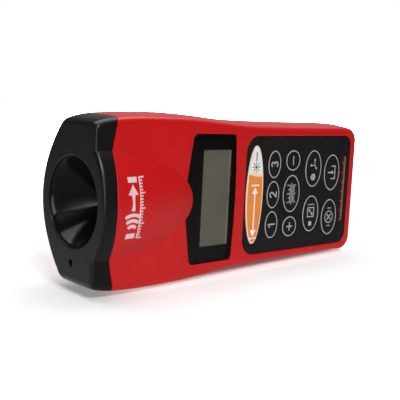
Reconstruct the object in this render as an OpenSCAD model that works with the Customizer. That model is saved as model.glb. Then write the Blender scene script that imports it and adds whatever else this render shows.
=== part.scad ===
// Hand-held distance meter: an ultrasonic horn and a laser pointer in a black nose, a display
// and a keypad on the face, and a nine volt block battery behind a sliding door.
// Local axes, used by every sub-part: X runs from the nose face to the tail, the face with the
// display looks along -Y, and Z = 0 is the axis of the horn. place() lays the meter on its long
// side with the origin at the middle of its base.

/* [Body] */
// Length from the nose face to the tail
body_len = 162; // [158:0.5:165]
// Half width of the nose face
nose_half = 33.4; // [32:0.1:34]
// Half width at the widest place, over the horn
head_half = 37.3; // [36.5:0.1:38]
// Half width of the grip
grip_half = 33.7; // [32.9:0.1:34.2]
// Depth of the flat face in front of the horn axis
face_y = 16.4; // [16:0.1:17]
// Depth of the back of the head behind the horn axis
head_back = 25.3; // [24:0.1:26]
// Depth of the back of the grip behind the horn axis
grip_back = 13; // [13:0.1:14]
// Thickness of the moulded shells
wall = 2; // [1.8:0.1:2.2]

/* [Horn and laser] */
// Diameter of the horn mouth
mouth_d = 38; // [36:0.5:38.5]
// Diameter of the ultrasonic transducer
transducer_d = 16; // [15:0.5:16]
// Diameter of the laser aperture
aperture_d = 3.1; // [2.5:0.1:3.5]
// Distance of the laser aperture below the horn axis
laser_z = 25.5; // [25:0.1:26]
// Diameter of the laser module barrel
laser_d = 8; // [7:0.5:8]

/* [Dome on the head] */
// Length of the raised dome from the nose face
dome_len = 50.6; // [48:0.1:52]
// Half width of the dome at the nose
dome_half = 22.3; // [21:0.1:23]
// Height of the dome over the face at the nose
dome_rise = 7.6; // [7:0.1:7.6]

/* [Display and keypad] */
// Near end of the display window
window_x0 = 47.4; // [47:0.1:48]
// Far end of the display window
window_x1 = 76.5; // [76.4:0.1:76.8]
// Half width of the display window
window_half = 29; // [28.5:0.1:29]
// Near end of the keypad plate
pad_x0 = 82.4; // [82:0.1:82.6]
// Far end of the keypad plate
pad_x1 = 157.6; // [157:0.1:157.8]
// Half width of the keypad plate
pad_half = 28; // [27.8:0.1:28.1]
// Travel of each key
key_travel = 0.4; // [0.3:0.05:0.45]
// Gap round each key
key_gap = 0.15; // [0.12:0.01:0.2]

/* [Battery] */
// Length of the battery block
battery_len = 46.4; // [46:0.1:46.4]
// Width of the battery block
battery_w = 26.5; // [26:0.1:26.5]
// Thickness of the battery block
battery_t = 17.5; // [17:0.1:17.5]

/* [Hidden] */
$fn = 48;

// Where the local frame sits in the part's own frame
depth_shift = (face_y + dome_rise - head_back) / 2;

// Stack of levels behind the face, as Y values
plate_t = 1;
plate_back = -face_y + plate_t;
face_back = -13.8;
window_top = -face_y + 0.3;
window_back = window_top + 1.7;
mask_t = 0.1;
seat_back = -13;
lcd_top = -14.1;
lcd_step = -13.55;
lcd_back = -13;
board_top = -12;
board_t = 1.6;
board_back = board_top + board_t;
mat_t = 0.8;
mat_top = board_top - mat_t;
nub_top = mat_top - 0.2;
split_y = -2;

// Opening in the shell under the window, the part of the display that shows, and the display's
// glass with its contact ledge
opening_x0 = 52.2;
opening_x1 = 75.3;
opening_half = 26;
view_x0 = 57.8;
view_x1 = 74.4;
view_half = 21.8;
lcd_x0 = 54.9;
lcd_x1 = 74.6;
lcd_half = 24;
lcd_ledge = 0.8;
lcd_gap = 0.1;
zebra_w = 2;

// Wires, and the far end of the laser barrel
wire_d = 1.1;
laser_end = 22;

// Battery bay and door
bay_floor = -7.2;
bay_x0 = 90;
bay_x1 = 148.5;
bay_half = 13.5;
bay_wall = 1.2;
battery_x0 = 98.5;
door_x0 = 92;
door_half = 22;
door_t = 2.2;
door_gap = 0.2;
rim_t = 1.4;
rim_y = grip_back - door_t - rim_t;
tongue_t = 1;
tongue_w = 1;

// Screws
boss_r = 3;
head_screw_x = 44;
head_screw_z = 28.4;
tail_screw_x = 152;
tail_screw_z = 27.2;
screw_seat = 3.5;
board_screw_x = [79.2, 153.2];
board_screw_z = [-16, 16];

// The dome's round cross section at the nose: its radius and the depth of its centre
dome_r = (dome_half * dome_half + dome_rise * dome_rise) / (2 * dome_rise);
dome_axis = dome_r - face_y - dome_rise;
// Sine of the angle that the dome's elliptical outline is drawn to, past its tip
dome_reach = 0.7;
nose_edge = 1.4;

// The horn
seam_x = 6.5;
seam_r = 151;
horn_seat = 1.2;
horn_mouth_r = mouth_d / 2 - 0.3;
throat_x = 17.6;
throat_r = transducer_d / 2 + 0.1;
horn_wall = 1.4;

// Keys: name, X, Z, size along X, size along Z
KEYS = [
    ["measure_key", 88.6, 0.4, 10.9, 46.5],
    ["memory_1_key", 100.9, -14.6, 8.9, 13.5],
    ["memory_2_key", 100.9, 0, 8.9, 13.5],
    ["memory_3_key", 100.9, 14.6, 8.9, 13.5],
    ["plus_key", 113.8, -16.4, 10.3, 10.3],
    ["units_key", 113.8, -0.1, 12.3, 18.7],
    ["minus_key", 113.8, 16.2, 10.3, 10.3],
    ["area_key", 129, -11, 12.3, 18.7],
    ["volume_key", 129, 11.8, 12.3, 18.7],
    ["clear_key", 143.4, -13.7, 12.3, 18.8],
    ["store_key", 143.4, 9.4, 12.3, 18.8]
];
flange = 0.4;
flange_t = 0.8;
key_proud = 0.3;
plunger_r = 1.3;
// Key columns: first X, last X and half width of the opening under the plate
COLUMNS = [[82.5, 94.6, 24.8], [96, 105.8, 22.2], [107.2, 120.4, 22.4], [122.3, 135.7, 22],
    [136.7, 150.1, 23.9]];

// Half width of the body along its length, at the parting line
SIDES = [[0, nose_half], [4, nose_half + 1.5], [10, nose_half + 2.7], [18, head_half - 0.5],
    [28, head_half - 0.1], [38, head_half], [46, head_half - 0.1], [55, head_half - 0.6],
    [64, head_half - 1.4], [73, grip_half + 1.4], [82, grip_half + 0.8], [91, grip_half + 0.5],
    [100, grip_half + 0.3], [115, grip_half + 0.1], [130, grip_half], [170, grip_half]];
// How much the sides draw in from the parting line to the edge of the face: a share of it at the
// nose, growing to all of it at draft_end
side_draft = 1.6;
nose_draft = 0.12;
draft_end = 55;
draft_steps = 4;
tail_corner = 8.5;
tail_edge = 3.5;
tail_face_edge = 1.5;
// Depth of the corners between the sides and the arched back of the head
back_corner = 8.8;
face_edge = 3;
back_edge = 2;
corner_steps = 4;
back_steps = 12;
// Where the sections of the body stand
STATIONS = [5, 12, 20, 28, 36, 44, 55, 66, 80, 100, 140, body_len - tail_corner, body_len - 5,
    body_len - 2.5, body_len - 0.9, body_len - 0.25, body_len];

// Where the sections of the nose stand: its front edge is round
NOSE_STATIONS = [0, 0.2, 0.5, 0.9, nose_edge, 3, 6, 9, 12];
INNER_STATIONS = [for (x = STATIONS) if (x < body_len - wall - 1.5) x, body_len - wall - 1];

function clamp01(t) = max(0, min(1, t));
// How far a round end of radius r has drawn in at x
function draw_in(x, r) = x < body_len - r ? 0 : r - sqrt(max(0, r * r - pow(x - body_len + r, 2)));
function half_width(x) = lookup(x, SIDES) - draw_in(x, tail_corner);
function back_depth(x) =
    grip_back + (head_back - grip_back) * (1 + cos(180 * clamp01((x - 16) / 66))) / 2
    - draw_in(x, tail_edge);
// Depth of the back: an arch that meets the sides at back_corner, cut off level along the grip
function back_at(z, x) =
    min(back_depth(x), head_back - (head_back - back_corner) * pow(z / lookup(x, SIDES), 2));
function draft_at(x) = side_draft * mix(nose_draft, 1, clamp01(x / draft_end));
function face_at(x) = -face_y + draw_in(x, tail_face_edge);

module place() {
    translate([-body_len / 2, depth_shift, head_half]) children();
}

// A prism over an outline in X and Z, from depth y0 to depth y1
module over_face(y0, y1) {
    translate([0, y1, 0]) rotate([90, 0, 0]) linear_extrude(y1 - y0) children();
}

// A prism over an outline in Y and Z, from x0 to x1
module along_body(x0, x1) {
    translate([x0, 0, 0]) rotate([90, 0, 90]) linear_extrude(x1 - x0) children();
}

module rounded_rect(x0, x1, z0, z1, r) {
    translate([x0 + r, z0 + r]) offset(r) square([x1 - x0 - 2 * r, z1 - z0 - 2 * r]);
}

// Points of the body's cross section at x, in Y and Z, drawn in by inset
function section(x, inset) =
    let (w = half_width(x) - inset,
        v = w - draft_at(x),
        face = face_at(x) + inset,
        r = max(0.6, face_edge - inset),
        b = max(0.6, back_edge - inset),
        side = back_at(w, x) - inset,
        flank = [for (i = [1:draft_steps]) let (t = i / draft_steps)
            [mix(face + r, split_y, t), w - draft_at(x) * pow(1 - t, 2)]],
        corner = [for (i = [0:corner_steps]) let (t = i / corner_steps)
            [mix2(side - b, side, back_at(w - b, x) - inset, t), mix2(w, w, w - b, t)]])
    concat(
        [for (i = [draft_steps - 1:-1:0]) [flank[i][0], -flank[i][1]]],
        [for (i = [0:corner_steps]) let (t = 90 * i / corner_steps)
            [face + r * (1 - cos(90 - t)), -v + r * (1 - sin(90 - t))]],
        [for (i = [0:corner_steps]) let (t = 90 * i / corner_steps)
            [face + r * (1 - cos(t)), v - r * (1 - sin(t))]],
        flank,
        corner,
        [for (i = [1:back_steps - 1]) let (z = (w - b) * (1 - 2 * i / back_steps))
            [back_at(z, x) - inset, z]],
        [for (i = [corner_steps:-1:0]) [corner[i][0], -corner[i][1]]]);

function nose_ring(x) = at_x(x, section(x, x > nose_edge ? 0 :
    nose_edge - sqrt(nose_edge * nose_edge - pow(nose_edge - x, 2))));

function mix(a, b, t) = a + (b - a) * t;
// A quadratic curve's value between a and c, pulled towards b
function mix2(a, b, c, t) = (1 - t) * (1 - t) * a + 2 * t * (1 - t) * b + t * t * c;
function at_x(x, ring) = [for (p = ring) [x, p[0], p[1]]];

// The convex slice of the body between two cross sections
module slice(near, far) {
    n = len(near);
    hull() polyhedron(concat(near, far), [[for (i = [0:n - 1]) i], [for (i = [n:2 * n - 1]) i]]);
}

// The body from station to station
module loft(stations, inset) {
    for (i = [0:len(stations) - 2])
        slice(at_x(stations[i], section(stations[i], inset)),
            at_x(stations[i + 1], section(stations[i + 1], inset)));
}

// The raised dome on the face: a solid of revolution, elliptical along X and round across it
module dome(inset) {
    steps = 14;
    intersection() {
        translate([0, dome_axis, 0]) rotate([0, 90, 0]) rotate_extrude($fn = 120)
            polygon(concat([[0, 0]], [for (i = [0:steps]) let (t = asin(dome_reach) * i / steps)
                [(dome_r - inset) * cos(t), dome_len / dome_half * (dome_r - inset) * sin(t)]],
                [[0, dome_len / dome_half * (dome_r - inset) * dome_reach]]));
        translate([0, -face_y - 20, -dome_half - 1]) cube([dome_len + 1, 26, 2 * dome_half + 2]);
    }
}

// Everything behind the seam between the nose cap and the shells
module behind_seam(gap) {
    translate([seam_x + gap + seam_r, 0, 0]) rotate([90, 0, 0])
        cylinder(r = seam_r, h = 100, center = true, $fn = 240);
}

module screw_places() {
    for (side = [-1, 1]) {
        translate([head_screw_x, 0, side * head_screw_z]) children();
        translate([tail_screw_x, 0, side * tail_screw_z]) children();
    }
}

// A cylinder along Y between two depths
module post(r, y0, y1, fn = 24) {
    translate([0, y1, 0]) rotate([90, 0, 0]) cylinder(r = r, h = y1 - y0, $fn = fn);
}

// ---------- shells ----------

module window_outline(grow) {
    offset(grow) difference() {
        offset(1.8) offset(delta = -1.8)
            polygon([[window_x0 + 2.9, -window_half + 1.5], [window_x0 + 4.5, -window_half],
                [window_x1 - 1.2, -window_half + 0.2], [window_x1 - 0.2, -12], [window_x1, 0],
                [window_x1 - 0.2, 12], [window_x1 - 1.2, window_half - 0.2],
                [window_x0 + 4.5, window_half], [window_x0 + 2.9, window_half - 1.5],
                [window_x0, 8.6], [window_x0, -8.6]]);
        scale([dome_len + 0.4, dome_half + 0.4]) circle(1, $fn = 96);
    }
}

module column_holes() {
    for (c = COLUMNS) rounded_rect(c[0], c[1], -c[2], c[2], 3);
}

module board_posts() {
    for (x = board_screw_x, z = board_screw_z)
        translate([x, 0, z]) children();
}

module front_shell() color("firebrick") place() {
    difference() {
        union() {
            difference() {
                intersection() {
                    union() {
                        loft(STATIONS, 0);
                        dome(0);
                    }
                    behind_seam(0);
                    translate([0, -50, -50]) cube([200, 50 + split_y, 100]);
                }
                difference() {
                    union() {
                        loft(INNER_STATIONS, wall);
                        dome(wall);
                    }
                    translate([pad_x0 - 1.5, -50, -50]) cube([200, 50 + face_back, 100]);
                }
            }
            over_face(-face_y + 0.5, seat_back) window_outline(1.6);
            screw_places() post(boss_r, -face_y + 1.3, split_y);
            board_posts() post(2.2, face_back - 0.9, board_top);
        }
        over_face(-face_y - 1, window_back) window_outline(0.15);
        over_face(-face_y - 1, 0)
            rounded_rect(opening_x0, opening_x1, -opening_half, opening_half, 1);
        over_face(-face_y - 1, plate_back) pad_outline(0.12);
        over_face(-face_y, 0) column_holes();
        screw_places() post(1.15, -12, 1, 16);
        board_posts() post(0.85, -15, 0, 16);
    }
}

module back_shell() color("firebrick") place() {
    difference() {
        union() {
            difference() {
                intersection() {
                    loft(STATIONS, 0);
                    behind_seam(0);
                    translate([0, split_y, -50]) cube([200, 60, 100]);
                }
                loft(INNER_STATIONS, wall);
            }
            intersection() {
                loft(INNER_STATIONS, 0.5);
                union() {
                    screw_places() post(boss_r + 0.6, split_y, 30);
                    translate([door_x0 - 2, rim_y, -door_half - 3])
                        cube([body_len - door_x0 + 1, rim_t + door_t, 2 * door_half + 6]);
                }
            }
            translate([bay_x0 - bay_wall, bay_floor - bay_wall, -bay_half - bay_wall])
                cube([bay_x1 - bay_x0 + 2 * bay_wall, rim_y + 1.2 - bay_floor + bay_wall,
                    2 * (bay_half + bay_wall)]);
        }
        translate([bay_x0, bay_floor, -bay_half])
            cube([bay_x1 - bay_x0, rim_y - bay_floor, 2 * bay_half]);
        translate([door_x0 + 1, bay_floor, -bay_half])
            cube([bay_x1 - door_x0 - 1, 40, 2 * bay_half]);
        translate([bay_x0 - 3, -4, -4]) cube([4, 8, 8]);
        door_path();
        screw_places() post(1.45, -5, 30, 16);
        screw_places() post(2.9, screw_seat, 30);
    }
}

// The space that the door slides in, with the grooves for its tongues
module door_path() {
    g = door_gap;
    level = grip_back - door_t - 0.05;
    translate([door_x0 - g, level, -door_half - g]) cube([100, 10, 2 * (door_half + g)]);
    translate([door_x0 + 6 - g, level, -door_half - tongue_w - g])
        cube([100, tongue_t + 0.25, 2 * (door_half + tongue_w + g)]);
}

module battery_door() color("firebrick") place() difference() {
    union() {
        along_body(door_x0, body_len)
            translate([grip_back - door_t, -door_half]) square([door_t, 2 * door_half]);
        along_body(door_x0 + 6, body_len - 4)
            translate([grip_back - door_t, -door_half - tongue_w])
                square([tongue_t, 2 * (door_half + tongue_w)]);
    }
    // Round edge at the tail
    translate([body_len - tail_edge, grip_back - tail_edge, 0]) difference() {
        translate([0, 0, -40]) cube([10, 10, 80]);
        cylinder(r = tail_edge, h = 90, center = true);
    }
    // Thumb ridges are the lands between these grooves
    for (i = [0:4])
        translate([door_x0 + 5 + 2.2 * i, grip_back - 0.6, -9]) cube([1.1, 1, 18]);
}

// ---------- nose ----------

// Cross section of the cap at the nose, with the dome's arc
module cap_section(inset) {
    offset(delta = -inset) union() {
        polygon(section(0, 0));
        intersection() {
            translate([dome_axis, 0]) circle(dome_r, $fn = 96);
            translate([-50, -dome_half]) square([50, 2 * dome_half]);
        }
    }
}

module nose_cap() color([0.13, 0.13, 0.14]) place() difference() {
    union() {
        difference() {
            union() {
                for (i = [0:len(NOSE_STATIONS) - 2])
                    slice(nose_ring(NOSE_STATIONS[i]), nose_ring(NOSE_STATIONS[i + 1]));
                intersection() {
                    dome(0);
                    translate([0, dome_axis, 0]) rotate([0, 90, 0])
                        cylinder(r1 = dome_r - nose_edge, r2 = dome_r - nose_edge + 14, h = 14, $fn = 120);
                }
            }
            behind_seam(-0.05);
            along_body(2.2, 14) cap_section(wall);
        }
        // Spigot that the shells close round
        intersection() {
            along_body(2, 12) difference() {
                cap_section(wall + 0.2);
                cap_section(wall + 1.4);
            }
            union() {
                dome(wall + 0.25);
                translate([0, -face_y + wall + 0.5, -50]) cube([12, 100, 100]);
            }
        }
        // Socket for the laser barrel
        translate([2, 0, -laser_z]) rotate([0, 90, 0]) cylinder(d = laser_d + 2.4, h = 5);
    }
    translate([-1, 0, 0]) rotate([0, 90, 0]) cylinder(d = mouth_d, h = 4, $fn = 96);
    translate([horn_seat, 0, 0]) rotate([0, 90, 0])
        cylinder(r = mouth_d / 2 + 1.6, h = 4, $fn = 96);
    translate([-1, 0, -laser_z]) rotate([0, 90, 0]) cylinder(d = aperture_d, h = 6, $fn = 32);
    translate([2.2, 0, -laser_z]) rotate([0, 90, 0]) cylinder(d = laser_d + 0.1, h = 10, $fn = 32);
}

module horn_cone() color([0.07, 0.07, 0.08]) place() translate([horn_seat, 0, 0]) rotate([0, 90, 0])
    rotate_extrude($fn = 96) {
        t = throat_x - horn_seat;
        polygon([[horn_mouth_r, 0], [mouth_d / 2 + 1.5, 0], [mouth_d / 2 + 1.5, 1],
            [horn_mouth_r + 0.4, 1.6], [throat_r + horn_wall + 1.2, t - 1.2],
            [transducer_d / 2 + 3.4, t - 1.2], [transducer_d / 2 + 3.4, t + 9],
            [transducer_d / 2 + 2.1, t + 9], [transducer_d / 2 + 2.1, t], [throat_r, t]]);
    }

module transducer_boot() color([0.2, 0.2, 0.2]) place() translate([throat_x, 0, 0]) rotate([0, 90, 0])
    difference() {
        cylinder(r = transducer_d / 2 + 2, h = 11);
        translate([0, 0, -1]) cylinder(r = transducer_d / 2, h = 13.5);
    }

module ultrasonic_transducer() color("silver") place() translate([throat_x + 0.6, 0, 0])
    rotate([0, 90, 0]) {
        difference() {
            cylinder(d = transducer_d, h = 10);
            translate([0, 0, -1]) cylinder(d = transducer_d - 1.2, h = 3);
        }
        for (side = [-1, 1]) translate([0, side * 5, 9.9]) cylinder(d = 0.8, h = 5, $fn = 16);
    }

module transducer_mesh() color("gray") place() translate([throat_x + 0.9, 0, 0]) rotate([0, 90, 0])
    difference() {
        cylinder(d = transducer_d - 1.2, h = 0.5);
        for (ring = [1:3], k = [0:6 * ring - 1])
            rotate(60 * k / ring) translate([2 * ring, 0, -1]) cylinder(d = 1.3, h = 3, $fn = 16);
        translate([0, 0, -1]) cylinder(d = 1.3, h = 3, $fn = 16);
    }

// A wire through a list of points
module wire(points, d) {
    for (i = [0:len(points) - 2]) hull() {
        translate(points[i]) sphere(d = d, $fn = 8);
        translate(points[i + 1]) sphere(d = d, $fn = 8);
    }
}

module transducer_leads() color("goldenrod") place() for (side = [-1, 1])
    wire([[throat_x + 16, side * 5, 0], [37, side * 5, 0.6], [40.5, side * 4, 1.5],
        [41.5, side * 2.5 - 3, 2], [41.5, board_back + 0.6, 2 + side]], wire_d);

module laser_module() color("goldenrod") place() translate([2.3, 0, -laser_z]) rotate([0, 90, 0])
    difference() {
        cylinder(d = laser_d, h = laser_end - 2.3);
        translate([0, 0, -1]) cylinder(d = 5, h = 4.5);
        translate([0, 0, 9]) difference() {
            cylinder(d = laser_d + 1, h = 1);
            translate([0, 0, -1]) cylinder(d = laser_d - 0.8, h = 3);
        }
    }

module laser_lens() color("lightcyan") place() translate([4, 0, -laser_z]) rotate([0, 90, 0])
    cylinder(d = 5, h = 1.4);

module laser_leads() color("gold") place() for (side = [-1, 1])
    wire([[laser_end + 0.5, side * 1.6, -laser_z], [30, side * 1.6, -25], [35, side - 4, -21],
        [38, side - 8, -17], [39, board_back + 0.6, -15 + side]], wire_d);

// ---------- display ----------

module display_window() color([0.15, 0.15, 0.17, 0.6]) place()
    over_face(window_top, window_back) window_outline(0);

module window_mask() color("black") place() over_face(window_back, window_back + mask_t)
    difference() {
        rounded_rect(opening_x0 + 0.1, opening_x1 - 0.1, -opening_half + 0.1, opening_half - 0.1, 1);
        rounded_rect(view_x0, view_x1, -view_half, view_half, 0.6);
    }

module lcd_glass() color([0.45, 0.44, 0.38]) place() {
    over_face(lcd_top, lcd_step) rounded_rect(lcd_x0 + lcd_ledge, lcd_x1, -lcd_half, lcd_half, 0.3);
    over_face(lcd_step, lcd_back) rounded_rect(lcd_x0, lcd_x1, -lcd_half, lcd_half, 0.3);
}

module lcd_frame() color("white") place() over_face(lcd_top + 0.1, board_top) difference() {
    rounded_rect(lcd_x0 - 1, lcd_x1 + 0.6, -lcd_half - 1.6, lcd_half + 1.6, 0.8);
    rounded_rect(lcd_x0 - lcd_gap, lcd_x1 + lcd_gap, -lcd_half - lcd_gap, lcd_half + lcd_gap, 0.3);
}

module zebra_strips() color("dimgray") place() for (x = [lcd_x0 + 0.2, lcd_x1 - 0.2 - zebra_w])
    over_face(lcd_back, board_top) translate([x, -lcd_half + 1.5]) square([zebra_w, 2 * lcd_half - 3]);

// ---------- keypad ----------

module pad_outline(grow) {
    offset(grow) hull() {
        for (side = [-1, 1]) {
            translate([pad_x0 + 7.5, side * (pad_half - 7.5)]) circle(7.5);
            translate([pad_x1 - 5, side * (pad_half - 5)]) circle(5);
        }
    }
}

module key_outline(k, grow) {
    translate([k[1], k[2]]) scale([k[3] / 2 + grow, k[4] / 2 + grow]) circle(1, $fn = 60);
}

module keypad_plate() color([0.12, 0.11, 0.12]) place() over_face(-face_y, plate_back)
    difference() {
        pad_outline(0);
        for (k = KEYS) key_outline(k, key_gap);
    }

module key(index) {
    k = KEYS[index];
    place() {
        over_face(-face_y - key_proud, plate_back + 0.1) key_outline(k, 0);
        over_face(plate_back + 0.05, plate_back + flange_t) key_outline(k, flange);
        for (z = k[4] > 40 ? [-12, 12] : [0]) translate([k[1], 0, k[2] + z])
            post(plunger_r, plate_back + flange_t - 0.1, nub_top - key_travel - 0.05);
    }
}

module measure_key() color("orange") key(0);
module memory_1_key() color([0.15, 0.15, 0.16]) key(1);
module memory_2_key() color([0.15, 0.15, 0.16]) key(2);
module memory_3_key() color([0.15, 0.15, 0.16]) key(3);
module plus_key() color([0.15, 0.15, 0.16]) key(4);
module units_key() color([0.15, 0.15, 0.16]) key(5);
module minus_key() color([0.15, 0.15, 0.16]) key(6);
module area_key() color([0.15, 0.15, 0.16]) key(7);
module volume_key() color([0.15, 0.15, 0.16]) key(8);
module clear_key() color([0.15, 0.15, 0.16]) key(9);
module store_key() color([0.15, 0.15, 0.16]) key(10);

module key_mat() color("lightgray") place() difference() {
    union() {
        over_face(mat_top, board_top) rounded_rect(84, 150.5, -24, 24, 2);
        for (k = KEYS, z = k[4] > 40 ? [-12, 12] : [0]) translate([k[1], 0, k[2] + z])
            post(1.5, nub_top, mat_top + 0.1);
    }
    board_posts() post(3, -20, 0);
}

// ---------- electronics ----------

module main_board() color("darkgreen") place() over_face(board_top, board_back) difference() {
    union() {
        rounded_rect(34, 80, -27, 27, 1);
        rounded_rect(70, 155.8, -24.5, 24.5, 1);
    }
    for (side = [-1, 1]) {
        translate([head_screw_x, side * head_screw_z]) circle(boss_r + 0.4);
        translate([tail_screw_x, side * tail_screw_z]) circle(boss_r + 0.4);
    }
    for (x = board_screw_x, z = board_screw_z) translate([x, z]) circle(1.1, $fn = 24);
}

module on_board(x, z, h) {
    translate([x, board_back, z]) rotate([-90, 0, 0]) linear_extrude(h) children();
}

module chip(x, z, size, h, pins) color([0.12, 0.12, 0.12]) place() {
    translate([x - size[0] / 2, board_back + 0.15, z - size[1] / 2]) cube([size[0], h, size[1]]);
    pitch = (size[0] - 1) / pins;
    for (i = [0:pins - 1], side = [-1, 1])
        translate([x - size[0] / 2 + 0.5 + pitch * (i + 0.25), board_back,
            z + side * (size[1] / 2 + 0.5) - 0.6]) cube([pitch / 2, 0.5, 1.2]);
}

module microcontroller() chip(64, -6, [14, 10], 1.8, 14);
module amplifier_chip() chip(50, 8, [5, 4], 1.5, 4);

module quartz_crystal() color("silver") place() translate([54, board_back, -19])
    cube([10.5, 3.6, 4]);

module board_capacitors() color([0.2, 0.22, 0.4]) place()
    for (spot = [[50, 20], [57, 20]]) on_board(spot[0], spot[1], 7) circle(d = 5);

module drive_transformer() color("khaki") place() on_board(66, 14, 8)
    translate([-4.5, -4.5]) square([9, 9]);

module buzzer() color([0.12, 0.12, 0.12]) place() translate([46, 0, -9]) difference() {
    post(6, board_back, board_back + 5);
    post(1, board_back + 3, board_back + 6);
}

// ---------- battery ----------

module battery_block() color("steelblue") place() {
    translate([battery_x0, bay_floor, -battery_w / 2]) difference() {
        cube([battery_len, battery_t, battery_w]);
        for (y = [0, battery_t], z = [0, battery_w]) translate([-1, y, z])
            rotate([45, 0, 0]) cube([battery_len + 2, 1.6, 1.6]);
    }
}

module terminal_spots() {
    for (side = [-1, 1])
        translate([battery_x0, bay_floor + battery_t / 2, side * 6.4]) rotate([0, -90, 0]) children();
}

module battery_terminals() color("silver") place() {
    terminal_spots() cylinder(d = 5.6, h = 2);
}

module battery_connector() color([0.15, 0.15, 0.15]) place() difference() {
    translate([battery_x0 - 4.6, bay_floor + 2.4, -12.6]) cube([4.6, 12.6, 25.2]);
    terminal_spots() cylinder(d = 6, h = 2.2);
}

module battery_leads() color("crimson") place() for (side = [-1, 1])
    wire([[battery_x0 - 5.2, bay_floor + 8, side * 1.6], [91.5, 0.5, side * 1.6],
        [86, -0.6, side * 1.6], [80, -3, side * 2], [76, board_back + 3, side * 2 + 1],
        [75, board_back + 0.6, side * 2 + 2]], wire_d);

module battery_pad() color("dimgray") place()
    translate([battery_x0 + battery_len, bay_floor + 1, -11]) cube([3.4, battery_t - 2, 22]);

// ---------- screws ----------

// A self-tapping screw with its head at the level y and its tip towards the face
module screw(head_r, head_t, shaft_r, length) {
    difference() {
        union() {
            post(head_r, 0, head_t);
            post(shaft_r, -length, 0.1);
        }
        for (turn = [0, 90]) translate([0, head_t, 0]) rotate([0, turn, 0])
            cube([head_r * 1.3, 0.9, 0.5], center = true);
    }
}

module board_screws() color("silver") place() board_posts()
    translate([0, board_back, 0]) screw(1.9, 1.1, 0.8, 4.2);

module housing_screws() color("silver") place() screw_places()
    translate([0, screw_seat, 0]) screw(2.6, 1.8, 1.1, 14);

nose_cap();
horn_cone();
transducer_boot();
ultrasonic_transducer();
transducer_mesh();
transducer_leads();
laser_module();
laser_lens();
laser_leads();
front_shell();
back_shell();
battery_door();
display_window();
window_mask();
lcd_glass();
lcd_frame();
zebra_strips();
keypad_plate();
measure_key();
memory_1_key();
memory_2_key();
memory_3_key();
plus_key();
units_key();
minus_key();
area_key();
volume_key();
clear_key();
store_key();
key_mat();
main_board();
microcontroller();
amplifier_chip();
quartz_crystal();
board_capacitors();
drive_transformer();
buzzer();
battery_block();
battery_terminals();
battery_connector();
battery_leads();
battery_pad();
board_screws();
housing_screws();
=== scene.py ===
"""Looks of the hand-held distance meter: moulded shells, printed keypad, horn, window and studio."""
import math

import bmesh
import bpy
from mathutils import Matrix, Vector
from mathutils.geometry import delaunay_2d_cdt


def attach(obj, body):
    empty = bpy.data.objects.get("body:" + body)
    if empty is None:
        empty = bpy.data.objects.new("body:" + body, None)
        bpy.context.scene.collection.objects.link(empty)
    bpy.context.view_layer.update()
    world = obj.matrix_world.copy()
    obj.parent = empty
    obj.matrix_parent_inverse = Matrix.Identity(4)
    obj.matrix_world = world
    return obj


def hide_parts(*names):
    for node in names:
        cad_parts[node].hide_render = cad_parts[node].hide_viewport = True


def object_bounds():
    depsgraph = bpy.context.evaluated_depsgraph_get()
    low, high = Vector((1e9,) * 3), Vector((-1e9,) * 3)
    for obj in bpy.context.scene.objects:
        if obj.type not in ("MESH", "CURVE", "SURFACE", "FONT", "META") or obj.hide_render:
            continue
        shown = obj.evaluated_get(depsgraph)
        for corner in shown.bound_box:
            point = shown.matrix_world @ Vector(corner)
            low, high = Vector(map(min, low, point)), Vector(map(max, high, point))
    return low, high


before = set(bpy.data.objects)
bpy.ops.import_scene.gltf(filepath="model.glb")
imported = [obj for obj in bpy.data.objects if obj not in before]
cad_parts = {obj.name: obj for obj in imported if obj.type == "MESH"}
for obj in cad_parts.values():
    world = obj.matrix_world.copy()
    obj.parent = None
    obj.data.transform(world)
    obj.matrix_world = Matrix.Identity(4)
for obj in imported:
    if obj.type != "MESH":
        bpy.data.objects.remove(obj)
cad_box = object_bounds()

# ---------------------------------------------------------------- the meter's own axes
# All shapes below are in millimetres on the meter's own axes: X from the nose face to the tail,
# -Y out of the face, Z from the horn's axis. to_frame() places them in the frame.
MM = 0.001
HEAD_BACK = 25.3
BODY_LEN = (cad_box[1].x - cad_box[0].x) / MM
ORIGIN = Vector((cad_box[0].x, cad_box[1].y - HEAD_BACK * MM, (cad_box[0].z + cad_box[1].z) / 2))


def to_frame(p):
    return ORIGIN + Vector(p) * MM


# Driving sizes, as in the design
FACE_Y = -16.4
GRIP_BACK = 13.0
WALL = 2.0
SPLIT_Y = -2.0
FACE_EDGE = 3.0
BACK_EDGE = 2.0
BACK_CORNER = 8.8
SIDE_DRAFT = 1.6
NOSE_DRAFT = 0.12
DRAFT_END = 55
TAPER_START = 16
TAPER_LEN = 66
TAIL_CORNER = 8.5
TAIL_EDGE = 3.5
TAIL_FACE_EDGE = 1.5
MOUTH_R = 19.0
DOME_LEN = 50.6
DOME_HALF = 22.3
DOME_RISE = 7.59
DOME_R = (DOME_HALF ** 2 + DOME_RISE ** 2) / (2 * DOME_RISE)
DOME_AXIS = DOME_R + FACE_Y - DOME_RISE
SEAM_X = 6.5
SEAM_R = 151.0
LASER_Z = -25.5
HALF_WIDTHS = [(0, 33.4), (4, 34.9), (10, 36.1), (18, 36.8), (28, 37.2), (38, 37.28), (46, 37.2),
               (55, 36.7), (64, 35.9), (73, 35.1), (82, 34.5), (91, 34.2), (100, 34), (115, 33.8),
               (130, 33.7), (170, 33.7)]
WINDOW_X = (47.4, 76.5)
WINDOW_HALF = 29.0
WINDOW_TOP = -16.1
WINDOW_BACK = -14.4
SEAT_BACK = -13.0
LCD_TOP = -14.1
VIEW = (57.8, 74.4, -21.8, 21.8, 0.6)
OPENING = (52.2, 75.3, -26, 26, 1)
LCD_PLATE = (54.9, 74.6, -24, 24, 0.3)
PAD_X = (82.4, 157.6)
PAD_HALF = 28.0
PLATE_BACK = -15.4
KEY_TOP = -16.7
FLANGE = 0.4
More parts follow.
